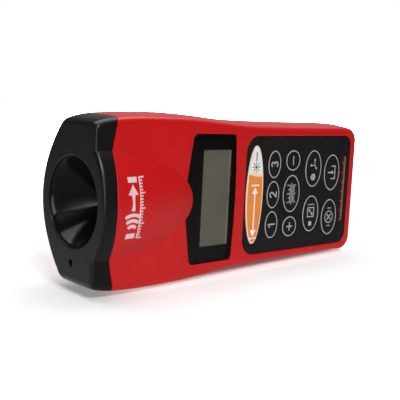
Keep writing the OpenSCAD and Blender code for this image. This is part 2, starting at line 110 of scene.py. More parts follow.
PLUNGER_R = 1.3
PLUNGER_END = -13.45
KEYS = {
    "measure": (88.6, 0.4, 10.9, 46.5),
    "memory_1": (100.9, -14.6, 8.9, 13.5),
    "memory_2": (100.9, 0, 8.9, 13.5),
    "memory_3": (100.9, 14.6, 8.9, 13.5),
    "plus": (113.8, -16.4, 10.3, 10.3),
    "units": (113.8, -0.1, 12.3, 18.7),
    "minus": (113.8, 16.2, 10.3, 10.3),
    "area": (129, -11, 12.3, 18.7),
    "volume": (129, 11.8, 12.3, 18.7),
    "clear": (143.4, -13.7, 12.3, 18.8),
    "store": (143.4, 9.4, 12.3, 18.8),
}
# The face's openings under the keys: (from, to, half height) along the meter
KEY_COLUMNS = [(82.5, 94.6, 24.8), (96, 105.8, 22.2), (107.2, 120.4, 22.4), (122.3, 135.7, 22),
               (136.7, 150.1, 23.9)]


def smooth_curve(points):
    """A curve through the points that never passes their highest or lowest value."""
    xs = [p[0] for p in points]
    ys = [p[1] for p in points]
    slope = [(ys[i + 1] - ys[i]) / (xs[i + 1] - xs[i]) for i in range(len(xs) - 1)]
    tangent = [slope[0]]
    for a, b in zip(slope, slope[1:]):
        tangent.append(0 if a * b <= 0 else 2 * a * b / (a + b))
    tangent.append(slope[-1])

    def value(x):
        if x <= xs[0]:
            return ys[0]
        if x >= xs[-1]:
            return ys[-1]
        i = max(k for k in range(len(xs)) if xs[k] <= x)
        h = xs[i + 1] - xs[i]
        t = (x - xs[i]) / h
        return (ys[i] * (1 + 2 * t) * (1 - t) ** 2 + tangent[i] * h * t * (1 - t) ** 2
                + ys[i + 1] * t * t * (3 - 2 * t) + tangent[i + 1] * h * t * t * (t - 1))
    return value


side_at = smooth_curve(HALF_WIDTHS)


def draw_in(x, r):
    """How far a round end of radius r has drawn in at x."""
    if x <= BODY_LEN - r:
        return 0.0
    return r - math.sqrt(max(0.0, r * r - (x - BODY_LEN + r) ** 2))


def seam_at(z):
    return SEAM_X + SEAM_R - math.sqrt(SEAM_R ** 2 - z * z)


def back_depth(x):
    t = min(1.0, max(0.0, (x - TAPER_START) / TAPER_LEN))
    return GRIP_BACK + (HEAD_BACK - GRIP_BACK) * (1 + math.cos(math.pi * t)) / 2


def soft_min(a, b, k):
    return (a + b - math.sqrt((a - b) ** 2 + k * k)) / 2


def back_at(z, x):
    """The back's depth: an arch that meets the sides at one depth, levelled off along the grip."""
    arch = HEAD_BACK - (HEAD_BACK - BACK_CORNER) * (z / side_at(x)) ** 2
    blend = 0.9 * min(1.0, max(0.0, (x - TAPER_START) / 30))
    return soft_min(back_depth(x), arch, blend) - draw_in(x, TAIL_EDGE)


def draft_at(x):
    """How much the sides draw in from the parting line to the face: hardly at all at the nose."""
    return SIDE_DRAFT * (NOSE_DRAFT + (1 - NOSE_DRAFT) * min(1.0, max(0.0, x / DRAFT_END)))


def flank(x, depth, start):
    """How far the side has drawn in between the parting line and the depth where its edge starts."""
    t = max(0.0, (SPLIT_Y - depth) / (SPLIT_Y - start))
    return draft_at(x) * t * t


def dome_at(x, z):
    """Height of the dome's surface, as a Y value, with a small fillet where it meets the face."""
    inside = 1 - (x * DOME_HALF / DOME_LEN / DOME_R) ** 2 - (z / DOME_R) ** 2
    rise = DOME_R * math.sqrt(inside) - DOME_AXIS + FACE_Y
    fillet = 0.16
    return FACE_Y - (rise + math.sqrt(rise * rise + fillet * fillet)) / 2


# ---------------------------------------------------------------- mesh making

# Edges where the faces turn more than this many degrees stay crisp
CREASE = 32


class Shape:
    """Points and faces of one closed piece, joined where they meet."""

    def __init__(self):
        self.points = []
        self.faces = []

    def add(self, points):
        start = len(self.points)
        self.points += [tuple(p) for p in points]
        return list(range(start, len(self.points)))

    def strip(self, rows, closed=True):
        """Quads between rows of points of the same length."""
        ids = [self.add(r) for r in rows]
        n = len(rows[0])
        for a, b in zip(ids, ids[1:]):
            for i in range(n if closed else n - 1):
                j = (i + 1) % n
                self.faces.append((a[i], a[j], b[j], b[i]))

    def cap(self, *rows):
        """One face over each row."""
        for row in rows:
            self.faces.append(tuple(self.add(row)))

    def region(self, outer, holes, lift):
        """The flat or lifted area inside the outer loop and outside the holes, in triangles."""
        coords, faces = area_triangles(outer, holes)
        ids = self.add([lift(u, v) for u, v in coords])
        self.faces += [tuple(ids[i] for i in f) for f in faces]

    def build(self, name, weld=0.002):
        mesh = bpy.data.meshes.new(name)
        bm = bmesh.new()
        verts = [bm.verts.new(to_frame(p)) for p in self.points]
        for f in self.faces:
            if len(set(f)) > 2:
                try:
                    bm.faces.new([verts[i] for i in f])
                except ValueError:
                    pass
        bmesh.ops.remove_doubles(bm, verts=bm.verts, dist=weld * MM)
        bmesh.ops.dissolve_degenerate(bm, edges=bm.edges, dist=weld * MM / 2)
        loose = [v for v in bm.verts if not v.link_faces]
        bmesh.ops.delete(bm, geom=loose, context="VERTS")
        bmesh.ops.recalc_face_normals(bm, faces=bm.faces)
        bm.to_mesh(mesh)
        bm.free()
        obj = bpy.data.objects.new(name, mesh)
        bpy.context.scene.collection.objects.link(obj)
        return obj


def lofted(name, rows):
    """A closed piece through the rows, with a face over both ends."""
    shape = Shape()
    shape.strip(rows)
    shape.cap(rows[0], rows[-1])
    return shape.build(name)


def turned_clockwise(loop):
    return sum(a[0] * b[1] - a[1] * b[0] for a, b in zip(loop, loop[1:] + loop[:1])) < 0


def triangles(loops, step=None):
    """Cuts the area of all loops into triangles, each with the numbers of the loops it lies in.
    With a step, points of a grid are added, so that the triangles can follow a curved surface."""
    points = []
    faces = []
    for loop in loops:
        start = len(points)
        order = list(range(start, start + len(loop)))
        points += [Vector(p) for p in loop]
        faces.append(order[::-1] if turned_clockwise(loop) else order)
    if step:
        low = [min(p[i] for p in points) for i in (0, 1)]
        counts = [int((max(p[i] for p in points) - low[i]) / step) + 1 for i in (0, 1)]
        points += [Vector((low[0] + step * (i + 0.37), low[1] + step * (j + 0.41)))
                   for i in range(counts[0]) for j in range(counts[1])]
    coords, _, found, _, _, owners = delaunay_2d_cdt(points, [], faces, 1, 1e-5)
    return [tuple(c) for c in coords], [(tuple(f), o) for f, o in zip(found, owners)]


def area_triangles(outer, holes):
    coords, found = triangles([outer] + holes)
    return coords, [f for f, owner in found if list(owner) == [0]]


def shade(obj):
    """Smooth shading, with an edge kept crisp where its faces turn more than CREASE degrees."""
    bm = bmesh.new()
    bm.from_mesh(obj.data)
    for f in bm.faces:
        f.smooth = True
    for e in bm.edges:
        e.smooth = len(e.link_faces) == 2 and e.calc_face_angle(math.pi) < math.radians(CREASE)
    bm.to_mesh(obj.data)
    bm.free()


def boolean(obj, cutter, operation="DIFFERENCE"):
    """Cuts the cutter out of obj, joins it on or keeps what they share. The cutter is used up."""
    mod = obj.modifiers.new("cut", "BOOLEAN")
    mod.operation = operation
    mod.solver = "MANIFOLD"
    mod.object = cutter
    bpy.context.view_layer.update()
    evaluated = obj.evaluated_get(bpy.context.evaluated_depsgraph_get())
    result = bpy.data.meshes.new_from_object(evaluated)
    obj.modifiers.clear()
    old = obj.data
    obj.data = result
    bpy.data.meshes.remove(old)
    bpy.data.objects.remove(cutter)


def piece(obj, body, material, slot, *nodes):
    """Finishes a piece: shading, material, the body that it rides on and what it stands for."""
    shade(obj)
    obj.data.materials.clear()
    obj.data.materials.append(material)
    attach(obj, body)
    if nodes:
        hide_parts(*nodes)


# ---------------------------------------------------------------- outlines in X and Z

def offset_loop(loop, distance):
    """The loop moved towards its inside by the distance. Loops run anticlockwise in X and Z."""
    moved = []
    for before, here, after in zip(loop[-1:] + loop[:-1], loop, loop[1:] + loop[:1]):
        tx, tz = after[0] - before[0], after[1] - before[1]
        size = math.hypot(tx, tz)
        moved.append((here[0] - distance * tz / size, here[1] + distance * tx / size))
    return moved


def arc(cx, cz, r, start, end, steps):
    turns = [math.radians(start + (end - start) * i / steps) for i in range(steps + 1)]
    return [(cx + r * math.cos(t), cz + r * math.sin(t)) for t in turns]


def evenly(points, step, closed=True):
    """The same outline with points at most a step apart."""
    result = []
    pairs = list(zip(points, points[1:] + points[:1]))
    if not closed:
        pairs = pairs[:-1]
    for a, b in pairs:
        n = max(1, math.ceil(math.hypot(b[0] - a[0], b[1] - a[1]) / step))
        result += [(a[0] + (b[0] - a[0]) * k / n, a[1] + (b[1] - a[1]) * k / n) for k in range(n)]
    if not closed:
        result.append(points[-1])
    return result


def round_corners(corners, steps=6):
    """A closed outline from (x, z, radius) corners."""
    loop = []
    n = len(corners)
    for i, (x, z, r) in enumerate(corners):
        if r == 0:
            loop.append((x, z))
            continue
        here = Vector((x, z))
        a = (Vector(corners[i - 1][:2]) - here).normalized()
        b = (Vector(corners[(i + 1) % n][:2]) - here).normalized()
        half = a.angle(b) / 2
        centre = here + (a + b).normalized() * r / math.sin(half)
        start = here + a * r / math.tan(half) - centre
        end = here + b * r / math.tan(half) - centre
        turn = math.atan2(start.x * end.y - start.y * end.x, start.dot(end))
        for k in range(steps + 1):
            angle = math.atan2(start.y, start.x) + turn * k / steps
            loop.append((centre.x + r * math.cos(angle), centre.y + r * math.sin(angle)))
    return loop


def rounded_rect(x0, x1, z0, z1, r):
    return round_corners([(x0, z0, r), (x1, z0, r), (x1, z1, r), (x0, z1, r)])


def ellipse(cx, cz, a, b, steps=72):
    turns = [2 * math.pi * i / steps for i in range(steps)]
    return [(cx + a * math.cos(t), cz + b * math.sin(t)) for t in turns]


def body_outline():
    """The housing's outline from the lower end of the seam round the tail to its upper end."""
    start = seam_at(side_at(8) - draft_at(8))
    straight = BODY_LEN - TAIL_CORNER
    n = 70
    lower = [(x, -side_at(x)) for x in [start + (straight - start) * i / n for i in range(n)]]
    half = side_at(straight)
    corner = arc(straight, -half + TAIL_CORNER, TAIL_CORNER, -90, 0, 12)
    tail = evenly([corner[-1], (BODY_LEN, half - TAIL_CORNER)], 4, closed=False)[1:-1]
    path = lower + corner + tail
    return path + [(x, -z) for x, z in reversed(lower + corner)]


def window_loop(grow=0.0):
    """The display window: bowed at the far end, slanted at the near end, notched for the dome."""
    x0, x1 = WINDOW_X
    h = WINDOW_HALF
    notch_half = 8.6
    a = DOME_LEN + 0.5
    b = DOME_HALF + 0.5
    notch = [(a * math.sqrt(1 - (z / b) ** 2), z, 0) for z in
             [notch_half * (1 - 2 * k / 16) for k in range(1, 16)]]
    low = [(x0 + 2.8, -h + 1.5, 1.8), (x0 + 4.5, -h, 1.8), (x1 - 1.2, -h + 0.2, 1.8),
           (x1 - 0.75, -21, 0), (x1 - 0.2, -12, 0)]
    high = [(x, -z, r) for x, z, r in reversed(low)]
    near_end = [(x0, notch_half, 0.8)] + notch + [(x0, -notch_half, 0.8)]
    loop = evenly(round_corners(low + [(x1, 0, 0)] + high + near_end), 1.0)
    return offset_loop(loop, -grow)


def pad_loop(grow=0.0):
    x0, x1 = PAD_X
    h = PAD_HALF
    corners = [(x0, -h, 7.5), (x1, -h, 5), (x1, h, 5), (x0, h, 7.5)]
    return offset_loop(evenly(round_corners(corners, 12), 2.0), -grow)


def at_depth(loop, y):
    return [(x, y, z) for x, z in loop]


def as_loop(row):
    return [(x, z) for x, _, z in row]


def quarter(r, steps):
    """Steps round an edge of radius r, as (depth, inset) pairs."""
    turns = [math.radians(90 * k / steps) for k in range(steps + 1)]
    return [(r * (1 - math.cos(t)), r * (1 - math.sin(t))) for t in turns]


def rounded_lip(loop, y, r, support=0.2):
    """Rows that turn from the flat at y down into a pocket: the loop is the pocket's wall."""
    rows = [at_depth(offset_loop(loop, -r - support), y)]
    return rows + [at_depth(offset_loop(loop, -inset), y + depth) for depth, inset in quarter(r, 4)]


def across_at(loop, x):
    return [(x, y, z) for y, z in loop]


def across_of(row):
    return [(y, z) for _, y, z in row]


# ---------------------------------------------------------------- shells

def back_corner(x, inset, w, r):
    """The round corner between the side at w and the back, as (y, z)."""
    top = back_at(w, x) - inset
    end = back_at(w - r, x) - inset
    shares = [k / 8 for k in range(9)]
    return [((1 - t) ** 2 * (top - r) + 2 * t * (1 - t) * top + t * t * end,
             (1 - t) ** 2 * w + 2 * t * (1 - t) * w + t * t * (w - r)) for t in shares]


def section(x, inset, close=False):
    """The housing's cross section at x as (y, z) from one side round the back to the other."""
    w = side_at(x) - draw_in(x, TAIL_CORNER) - inset
    r = max(0.6, BACK_EDGE - inset)
    corner = back_corner(x, inset, w, r)
    if close:
        face = FACE_Y + draw_in(x, TAIL_FACE_EDGE) + inset
        edge = face + FACE_EDGE - inset
        draft = draft_at(x)
        half = [(face, w - draft - 1.2), (edge, w - draft)]
        half += [(y, w - flank(x, y, edge)) for y in (-9.5, -6, SPLIT_Y)] + corner
    else:
        groove = 0.22
        half = [(SPLIT_Y, w - groove), (SPLIT_Y + groove, w)] + corner
    steps = 24
    across = [(back_at(z, x) - inset, z) for z in
              [(w - r) * (1 - 2 * k / steps) for k in range(1, steps)]]
    return half + across + [(y, -z) for y, z in reversed(half)]


def tail_stations():
    angles = [math.radians(9 * k) for k in range(11)]
    marks = [BODY_LEN - r + r * math.sin(a) for r in (TAIL_CORNER, TAIL_EDGE) for a in angles]
    return sorted(set(round(m, 3) for m in marks))


def inner_body(wall):
    """The space that is a wall's thickness inside the housing's outside."""
    shape = Shape()
    last = BODY_LEN - wall
    xs = [2 + 6 * k for k in range(26)] + [154.5, 156, 157.5, 158.6, last]
    rings = []
    for x in xs:
        outside_x = min(x + (wall if x > 150 else 0), BODY_LEN - 0.6)
        rings.append(across_at(section(outside_x, wall, close=True), x))
    shape.strip(rings)
    for end in (0, -1):
        shape.region(across_of(rings[end]), [], lambda y, z, x=xs[end]: (x, y, z))
    return shape.build("inner_body")


def inner_dome():
    """The hollow under the dome."""
    stretch = DOME_LEN / DOME_HALF
    r = DOME_R - WALL
    rings = []
    for t in [math.radians(180 * k / 24) for k in range(1, 24)]:
        ring = ellipse(DOME_AXIS, 0, -r * math.sin(t), r * math.sin(t), 64)
        rings.append(across_at(ring, -r * stretch * math.cos(t)))
    return lofted("inner_dome", rings)


def block(x0, x1, y0, y1, z0, z1):
    corners = [(x0, z0), (x1, z0), (x1, z1), (x0, z1)]
    return lofted("block", [at_depth(corners, y) for y in (y0, y1)])


def prism(loop, y0, y1):
    shape = Shape()
    shape.strip([at_depth(loop, y) for y in (y0, y1)])
    for y in (y0, y1):
        shape.region(loop, [], lambda x, z, y=y: (x, y, z))
    return shape.build("prism")


def post(x, z, y_radii, steps=32):
    """A turned shape along Y from (y, radius) pairs."""
    return lofted("post", [at_depth(ellipse(x, z, r, r, steps), y) for y, r in y_radii])


def wall_point(outline, i, inwards, down, along):
    """A point of the front shell's wall: round at the face, then flaring to the parting line."""
    x, z = outline[i]
    before = outline[max(0, i - 1)]
    after = outline[min(len(outline) - 1, i + 1)]
    tx, tz = after[0] - before[0], after[1] - before[1]
    size = math.hypot(tx, tz)
    facing_tail = max(0.0, tz / size)
    edge = FACE_EDGE + (TAIL_FACE_EDGE - FACE_EDGE) * facing_tail
    draft = draft_at(x) * (1 - facing_tail)
    y = FACE_Y + edge * down
    y += (SPLIT_Y - y) * along
    inset = edge * inwards + draft * (1 - along) ** 2
    x, z = x - inset * tz / size, z + inset * tx / size
    if i in (0, len(outline) - 1):
        x = seam_at(z)
    return (x, y, z)


def dome_rows():
    """The dome from the seam, where its edge is turned in a little, to just past the crease."""
    margin, edge = 0.08, 0.14
    long_r, wide_r = DOME_LEN + margin, DOME_HALF + margin
    across, along = 48, 40
    dome = []
    for u in range(-1, along + 1):
        row = []
        for v in range(across + 1):
            s = math.sin(math.pi / 2 * (1 - 2 * v / across))
            z = s * wide_r
            for _ in range(20):
                z = s * wide_r * math.sqrt(1 - (seam_at(z) / long_r) ** 2)
            x = seam_at(z)
            if u >= 0:
                x += edge
                x += (long_r - x) * (1 - (1 - u / along) ** 2)
            z = s * wide_r * math.sqrt(max(0.0, 1 - (x / long_r) ** 2))
            y = FACE_Y if v in (0, across) or u == along else dome_at(x, z)
            row.append((x, min(FACE_Y, y + edge) if u < 0 else y, z))
        dome.append(row)
    return dome


def front_shell():
    shape = Shape()
    # Round edge and side wall, down to the parting groove
    outline = body_outline()
    levels = [(1 + 0.3 / FACE_EDGE, 0.0, 0.0)]
    levels += [(inset, depth, 0.0) for depth, inset in quarter(1, 10)]
    levels += [(0.0, 1.0, k / 6) for k in range(1, 6)] + [(0.0, 1.0, 0.98), (0.07, 1.0, 1.0)]
    rows = [[wall_point(outline, i, *level) for i in range(len(outline))] for level in levels]
    shape.strip(rows, closed=False)
    dome = dome_rows()
    shape.strip(dome, closed=False)
    crease = [row[-1] for row in dome] + [row[0] for row in reversed(dome[:-1])]
    # Flat face with the window pocket and the keypad pocket
    window_rows = rounded_lip(window_loop(0.1), FACE_Y, 0.16, support=0.05)
    pad_rows = rounded_lip(pad_loop(0.12), FACE_Y, 0.25)
    face = as_loop(rows[0])
    low_z, high_z = face[0][1], crease[0][2]
    seam_low = [(seam_at(z), z) for z in
                [low_z + (high_z - low_z) * k / 6 for k in range(1, 6)]]
    seam_high = [(x, -z) for x, z in seam_low]
    boundary = face + seam_high + as_loop(reversed(crease)) + list(reversed(seam_low))
    shape.region(boundary, [as_loop(window_rows[0]), as_loop(pad_rows[0])],
                 lambda x, z: (x, FACE_Y, z))
    window_floor = WINDOW_BACK + 0.1
    for rounded, floor in ((window_rows, window_floor), (pad_rows, PLATE_BACK)):
        base = as_loop(rounded[-1])
        shape.strip(rounded + [at_depth(base, floor)])
        shape.region(base, [], lambda x, z, y=floor: (x, y, z))
    # Wall along the seam, and the parting plane
    top = [r[-1] for r in reversed(rows)] + at_depth(seam_high, FACE_Y) + dome[0] \
        + at_depth(reversed(seam_low), FACE_Y) + [r[0] for r in rows]
    loop = across_of(top)
    base = [(SPLIT_Y, z) for z in [loop[-1][1] * (1 - 2 * k / 40) for k in range(1, 40)]]
    shape.region(loop + base, [], lambda y, z: (seam_at(z), y, z))
    parting = as_loop(rows[-1]) + [(seam_at(z), z) for _, z in reversed(base)]
    shape.region(parting, [], lambda x, z: (x, SPLIT_Y, z))
    shell = shape.build("front_shell_skin")
    boolean(shell, inner_body(WALL))
    boolean(shell, inner_dome())
    boolean(shell, prism(window_loop(1.6), WINDOW_BACK - 0.6, SEAT_BACK), "UNION")
    boolean(shell, prism(window_loop(0.1), FACE_Y - 1, window_floor))
    boolean(shell, prism(rounded_rect(*OPENING), FACE_Y - 1, 0))
    for x0, x1, half in KEY_COLUMNS:
        boolean(shell, prism(rounded_rect(x0, x1, -half, half, 3), FACE_Y - 1, 0))
    return shell


# The back shell: battery door, battery bay and screws. BEYOND is past the meter's outside.
BEYOND = 200.0
DOOR_X0 = 92.0
DOOR_HALF = 22.0
DOOR_T = 2.2
DOOR_GAP = 0.2
BAY_X = (90.0, 148.5)
BAY_HALF = 13.5
BAY_FLOOR = -7.2
BAY_WALL = 1.2
SCREWS = [(x, side * z) for side in (-1, 1) for x, z in ((44.0, 28.4), (152.0, 27.2))]
TOWER_R = 3.6
SCREW_HOLE_R = 1.45
SCREW_HEAD_R = 2.9
SCREW_SEAT = 3.5


def back_shell():
    shape = Shape()
    xs = [10 + 3 * k for k in range(48)]
    xs = [x for x in xs if x < BODY_LEN - TAIL_CORNER - 1] + tail_stations()
    first = []
    for i, (_, guess) in enumerate(section(9, 0)):
        y, z = section(seam_at(guess), 0)[i]
        first.append((seam_at(z), y, z))
    start = max(x for x, _, _ in first) + 0.5
    rings = [first] + [across_at(section(x, 0), x) for x in xs if x > start]
    shape.strip(rings, closed=False)
    lows = [r[-1] for r in rings]
    highs = [r[0] for r in rings]
    spread_z = [lows[0][2] * (1 - 2 * k / 24) for k in range(1, 24)]
    seam_base = [(seam_at(z), SPLIT_Y, z) for z in spread_z]
    parting = as_loop(lows) + as_loop(reversed(highs)) + as_loop(reversed(seam_base))
    shape.region(parting, [], lambda x, z: (x, SPLIT_Y, z))
    shape.region(across_of(first + seam_base), [], lambda y, z: (seam_at(z), y, z))
    shape.region(across_of(rings[-1]), [], lambda y, z: (BODY_LEN, y, z))
    shell = shape.build("back_shell_skin")
    boolean(shell, inner_body(WALL))
    # Battery bay, its rim under the door, and the screw towers
    b = BAY_WALL
    rim = GRIP_BACK - DOOR_T - 1.4
    boolean(shell, block(DOOR_X0 - 2, BODY_LEN - 1.5, rim, GRIP_BACK - 0.6, -25, 25), "UNION")
    boolean(shell, block(BAY_X[0] - b, BAY_X[1] + b, BAY_FLOOR - b, rim + 0.2,
                         -BAY_HALF - b, BAY_HALF + b), "UNION")
    for x, z in SCREWS:
        tower = post(x, z, [(SPLIT_Y, TOWER_R), (HEAD_BACK, TOWER_R)])
        boolean(tower, inner_body(0.5), "INTERSECT")
        boolean(shell, tower, "UNION")
    # The room in the bay, and the way out for the leads
    boolean(shell, block(BAY_X[0], BAY_X[1], BAY_FLOOR, rim, -BAY_HALF, BAY_HALF))
    boolean(shell, block(DOOR_X0 + 1, BAY_X[1], rim - 1, BEYOND, -BAY_HALF, BAY_HALF))
    boolean(shell, block(BAY_X[0] - 3, BAY_X[0] + 1, -4, 4, -4, 4))
    # The door's opening with its side grooves, and the screw holes
    x0 = DOOR_X0 - DOOR_GAP
    half = DOOR_HALF + DOOR_GAP
    level = GRIP_BACK - DOOR_T - 0.05
    boolean(shell, block(x0, BEYOND, level, BEYOND, -half, half))
    boolean(shell, block(x0 + 6, BEYOND, level, level + 1.25, -half - 1, half + 1))
    for x, z in SCREWS:
        boolean(shell, post(x, z, [(-5, SCREW_HOLE_R), (BEYOND, SCREW_HOLE_R)]))
        boolean(shell, post(x, z, [(SCREW_SEAT, SCREW_HEAD_R), (BEYOND, SCREW_HEAD_R)]))
    return shell


def battery_door():
    """A plate with a round tail edge, tongues for the shell's grooves, and grooves for the thumb."""
    r = 0.3
    x0, x1 = DOOR_X0, BODY_LEN
    y0, y1 = GRIP_BACK - DOOR_T, GRIP_BACK
    profile = [(x0, y0), (x0, y1 - r)]
    profile += [(x0 + depth, y1 - inset) for depth, inset in quarter(r, 4)[1:]]
    profile += arc(x1 - TAIL_EDGE, y1 - TAIL_EDGE, TAIL_EDGE, 90, 27, 9)
    profile.append((x1 - 0.4, y0))
    rows = []
    for inset, z in [(r, -DOOR_HALF), (r * 0.3, -DOOR_HALF + r * 0.3), (0, -DOOR_HALF + r),
                     (0, DOOR_HALF - r), (r * 0.3, DOOR_HALF - r * 0.3), (r, DOOR_HALF)]:
        rows.append([(x + (inset if x == x0 else 0), y - (inset if y > y0 + 0.5 else 0), z)
                     for x, y in profile])
    door = lofted("battery_door_skin", rows)
    boolean(door, block(x0 + 6, x1 - 4, y0, y0 + 1, -DOOR_HALF - 1, DOOR_HALF + 1), "UNION")
    for k in range(5):
        x = x0 + 5 + 2.2 * k
        groove = prism(rounded_rect(x, x + 1.1, -9, 9, 0.54), y1 - 0.6, y1 + 1)
        boolean(door, groove)
    return door


# ---------------------------------------------------------------- nose

def cap_ring(x, inset):
    """The nose's cross section at x as (y, z), with the dome's arc on the face side."""
    w = side_at(x) - inset
    r = max(0.8, FACE_EDGE - inset)
    b = max(0.8, BACK_EDGE - inset)
    top = back_at(w, x) - inset
    face = FACE_Y + inset
    step = DOME_HALF * math.sqrt(1 - (x / DOME_LEN) ** 2) - 0.55 * inset
    radius = DOME_R * math.sqrt(1 - (x * DOME_HALF / DOME_LEN / DOME_R) ** 2) - inset
    turns = [math.asin(min(1.0, step / radius)) * k / 20 for k in range(20)]
    half = [(DOME_AXIS - radius * math.cos(t), radius * math.sin(t)) for t in turns]
    half.append((face, step))
    v = w - draft_at(x)
    shoulder = v - r - step
    half += [(face, step + shoulder * t) for t in (0.06, 0.5, 0.94)]
    half += [(face + down, v - inwards) for down, inwards in quarter(r, 9)]
    half += [(y, w - flank(x, y, face + r)) for y in
             [face + r + (SPLIT_Y - face - r) * k / 5 for k in range(1, 6)]]
    half += [(SPLIT_Y + (top - b - SPLIT_Y) * t, w) for t in (0.5, 0.95)]
    half += back_corner(x, inset, w, b)
    steps = 14
    across = [(w - b) * (1 - k / steps) for k in range(1, steps + 1)]
    half += [(back_at(z, x) - inset, z) for z in across]
    return half + [(y, -z) for y, z in reversed(half[1:-1])]


def nose_cap():
    shape = Shape()
    edge = 1.7
    rows = [across_at(cap_ring(0, edge + 0.25), 0)]
    rows += [across_at(cap_ring(x, inset), x) for x, inset in quarter(edge, 7)]
    gap = 0.12
    lip = 0.25
    steps = 8
    ends = [seam_at(z) - gap - lip for _, z in cap_ring(8, 0)]
    for k in range(1, steps + 1):
        xs = [edge + (end - edge) * k / steps for end in ends]
        rows.append([(x,) + cap_ring(x, 0)[i] for i, x in enumerate(xs)])
    # Rounded rear edge, then back inside
    outside = rows[-1]
    for inset, back in ((0.09, 0.16), (lip, lip), (WALL, lip)):
        rows.append([(x + back,) + cap_ring(x, inset)[i] for i, (x, _, _) in enumerate(outside)])
    front_wall = 2.2
    rows.append(across_at(cap_ring(front_wall, WALL), front_wall))
    shape.strip(rows)
    # Front face, horn mouth with a soft lip and a seat for the horn, laser aperture
    mouth_lip, hole_lip, hole_r = 0.5, 0.25, 1.55
    seat_x, seat_r = 1.2, MOUTH_R + 1.6

    def ring_at(x, r, cz=0.0, steps=128):
        return across_at(ellipse(0, cz, r, r, steps), x)

    mouth = [ring_at(0, MOUTH_R + mouth_lip + 0.2)]
    mouth += [ring_at(x, MOUTH_R + inset) for x, inset in quarter(mouth_lip, 5)]
    mouth += [ring_at(seat_x, MOUTH_R), ring_at(seat_x, seat_r), ring_at(front_wall, seat_r)]
    hole = [ring_at(0, hole_r + hole_lip + 0.1, LASER_Z, 40)]
    hole += [ring_at(x, hole_r + inset, LASER_Z, 40) for x, inset in quarter(hole_lip, 3)]
    hole += [ring_at(front_wall, hole_r, LASER_Z, 40)]
    shape.strip(mouth)
    shape.strip(hole)
    for end, x in ((0, 0), (-1, front_wall)):
        outer, *holes = [across_of(loop[end]) for loop in (rows, mouth, hole)]
        shape.region(outer, holes, lambda y, z, x=x: (x, y, z))
    return shape.build("nose_cap_skin")


def horn_cone():
    """The horn, turned about its axis: its inner face, then its sleeve, wall and rim."""
    seat, throat, wall = 1.2, 17.6, 1.4
    mouth_r, throat_r = MOUTH_R - 0.3, 8.1
    rim_r = MOUTH_R + 1.5
    face = [(seat + 0.25, mouth_r - 0.02)]
    for k in range(1, 13):
        t = k / 12
        bulge = 0.25 * math.sin(math.pi * t)
        face.append((seat + 0.25 + (throat - seat - 0.25) * t,
                     mouth_r + (throat_r - mouth_r) * t + bulge))
    back = [(throat, 10.1), (throat + 9, 10.1), (throat + 9, 11.4), (throat - 1.2, 11.4),
            (throat - 1.2, throat_r + wall + 1.2), (seat + 1.6, mouth_r + 0.4),
            (seat + 1, rim_r), (seat, rim_r), (seat, mouth_r + 0.2)]
    shape = Shape()
    shape.strip([across_at(ellipse(0, 0, r, r, 160), x) for x, r in face + back + face[:1]])
    return shape.build("horn_cone_skin")


# ---------------------------------------------------------------- window and keypad

def slab(name, loop, holes, top, back, lip):
    """A plate over an outline with holes, its front edges round."""
    shape = Shape()
    hole_lip = 0.12

    def edge_rows(outline, sign, r):
        rows = [at_depth(offset_loop(outline, sign * (r + 0.12)), top)]
        rows += [at_depth(offset_loop(outline, sign * inset), top + depth)
                 for depth, inset in quarter(r, 3)]
        return rows + [at_depth(outline, back)]

    outer = edge_rows(loop, 1, lip)
    inner = [edge_rows(h, -1, hole_lip) for h in holes]
    for rows in [outer] + inner:
        shape.strip(rows)
    shape.region(as_loop(outer[0]), [as_loop(r[0]) for r in inner], lambda x, z: (x, top, z))
    shape.region(as_loop(outer[-1]), [as_loop(r[-1]) for r in inner], lambda x, z: (x, back, z))
    return shape.build(name)


def window_mask():
    """Black paint on the back and round the edge of the window, open over the display."""
    shape = Shape()
    top, floor, back = WINDOW_TOP + 0.1, WINDOW_BACK, WINDOW_BACK + 0.06
    outer, inner = window_loop(0.06), window_loop(-0.1)
    hole = rounded_rect(*VIEW)
    shape.strip([at_depth(outer, back), at_depth(outer, top), at_depth(inner, top),
                 at_depth(inner, floor)])
    shape.strip([at_depth(hole, floor), at_depth(hole, back)])
    shape.region(inner, [hole], lambda x, z: (x, floor, z))
    shape.region(outer, [hole], lambda x, z: (x, back, z))
    return shape.build("window_mask_skin")


def key_crown(key):
    """The key's top surface as a function of x and z: a shallow crown."""
    cx, cz, sx, sz = key

    def height(x, z):
        rho = min(1.0, math.hypot((x - cx) / (sx / 2), (z - cz) / (sz / 2)))
        return KEY_TOP + 0.14 * rho ** 3
    return height


def key_cap(name, key):
    """An elliptical cap with a round edge, a flange behind the plate and its plungers."""
    cx, cz, sx, sz = key
    top = key_crown(key)
    r = 0.22
    rows = []
    for t in [k / 12 for k in range(1, 13)]:
        loop = ellipse(cx, cz, (sx / 2 - r) * t, (sz / 2 - r) * t)
        rows.append([(x, top(x, z), z) for x, z in loop])
    edge = top(cx + sx / 2 - r, cz)
    rows += [at_depth(ellipse(cx, cz, sx / 2 - inset, sz / 2 - inset), edge + depth)
             for depth, inset in quarter(r, 4)[1:]]
    flange_top, flange_back = PLATE_BACK + 0.05, PLATE_BACK + 0.8
    for grow, y in ((0, flange_top), (FLANGE, flange_top), (FLANGE, flange_back)):
        rows.append(at_depth(ellipse(cx, cz, sx / 2 + grow, sz / 2 + grow), y))
    obj = lofted(name, rows)
    for dz in ((-12, 12) if sz > 40 else (0,)):
        plunger = post(cx, cz + dz, [(flange_back - 0.1, PLUNGER_R), (PLUNGER_END, PLUNGER_R)], 24)
        boolean(obj, plunger, "UNION")
    return obj


# ---------------------------------------------------------------- printed marks

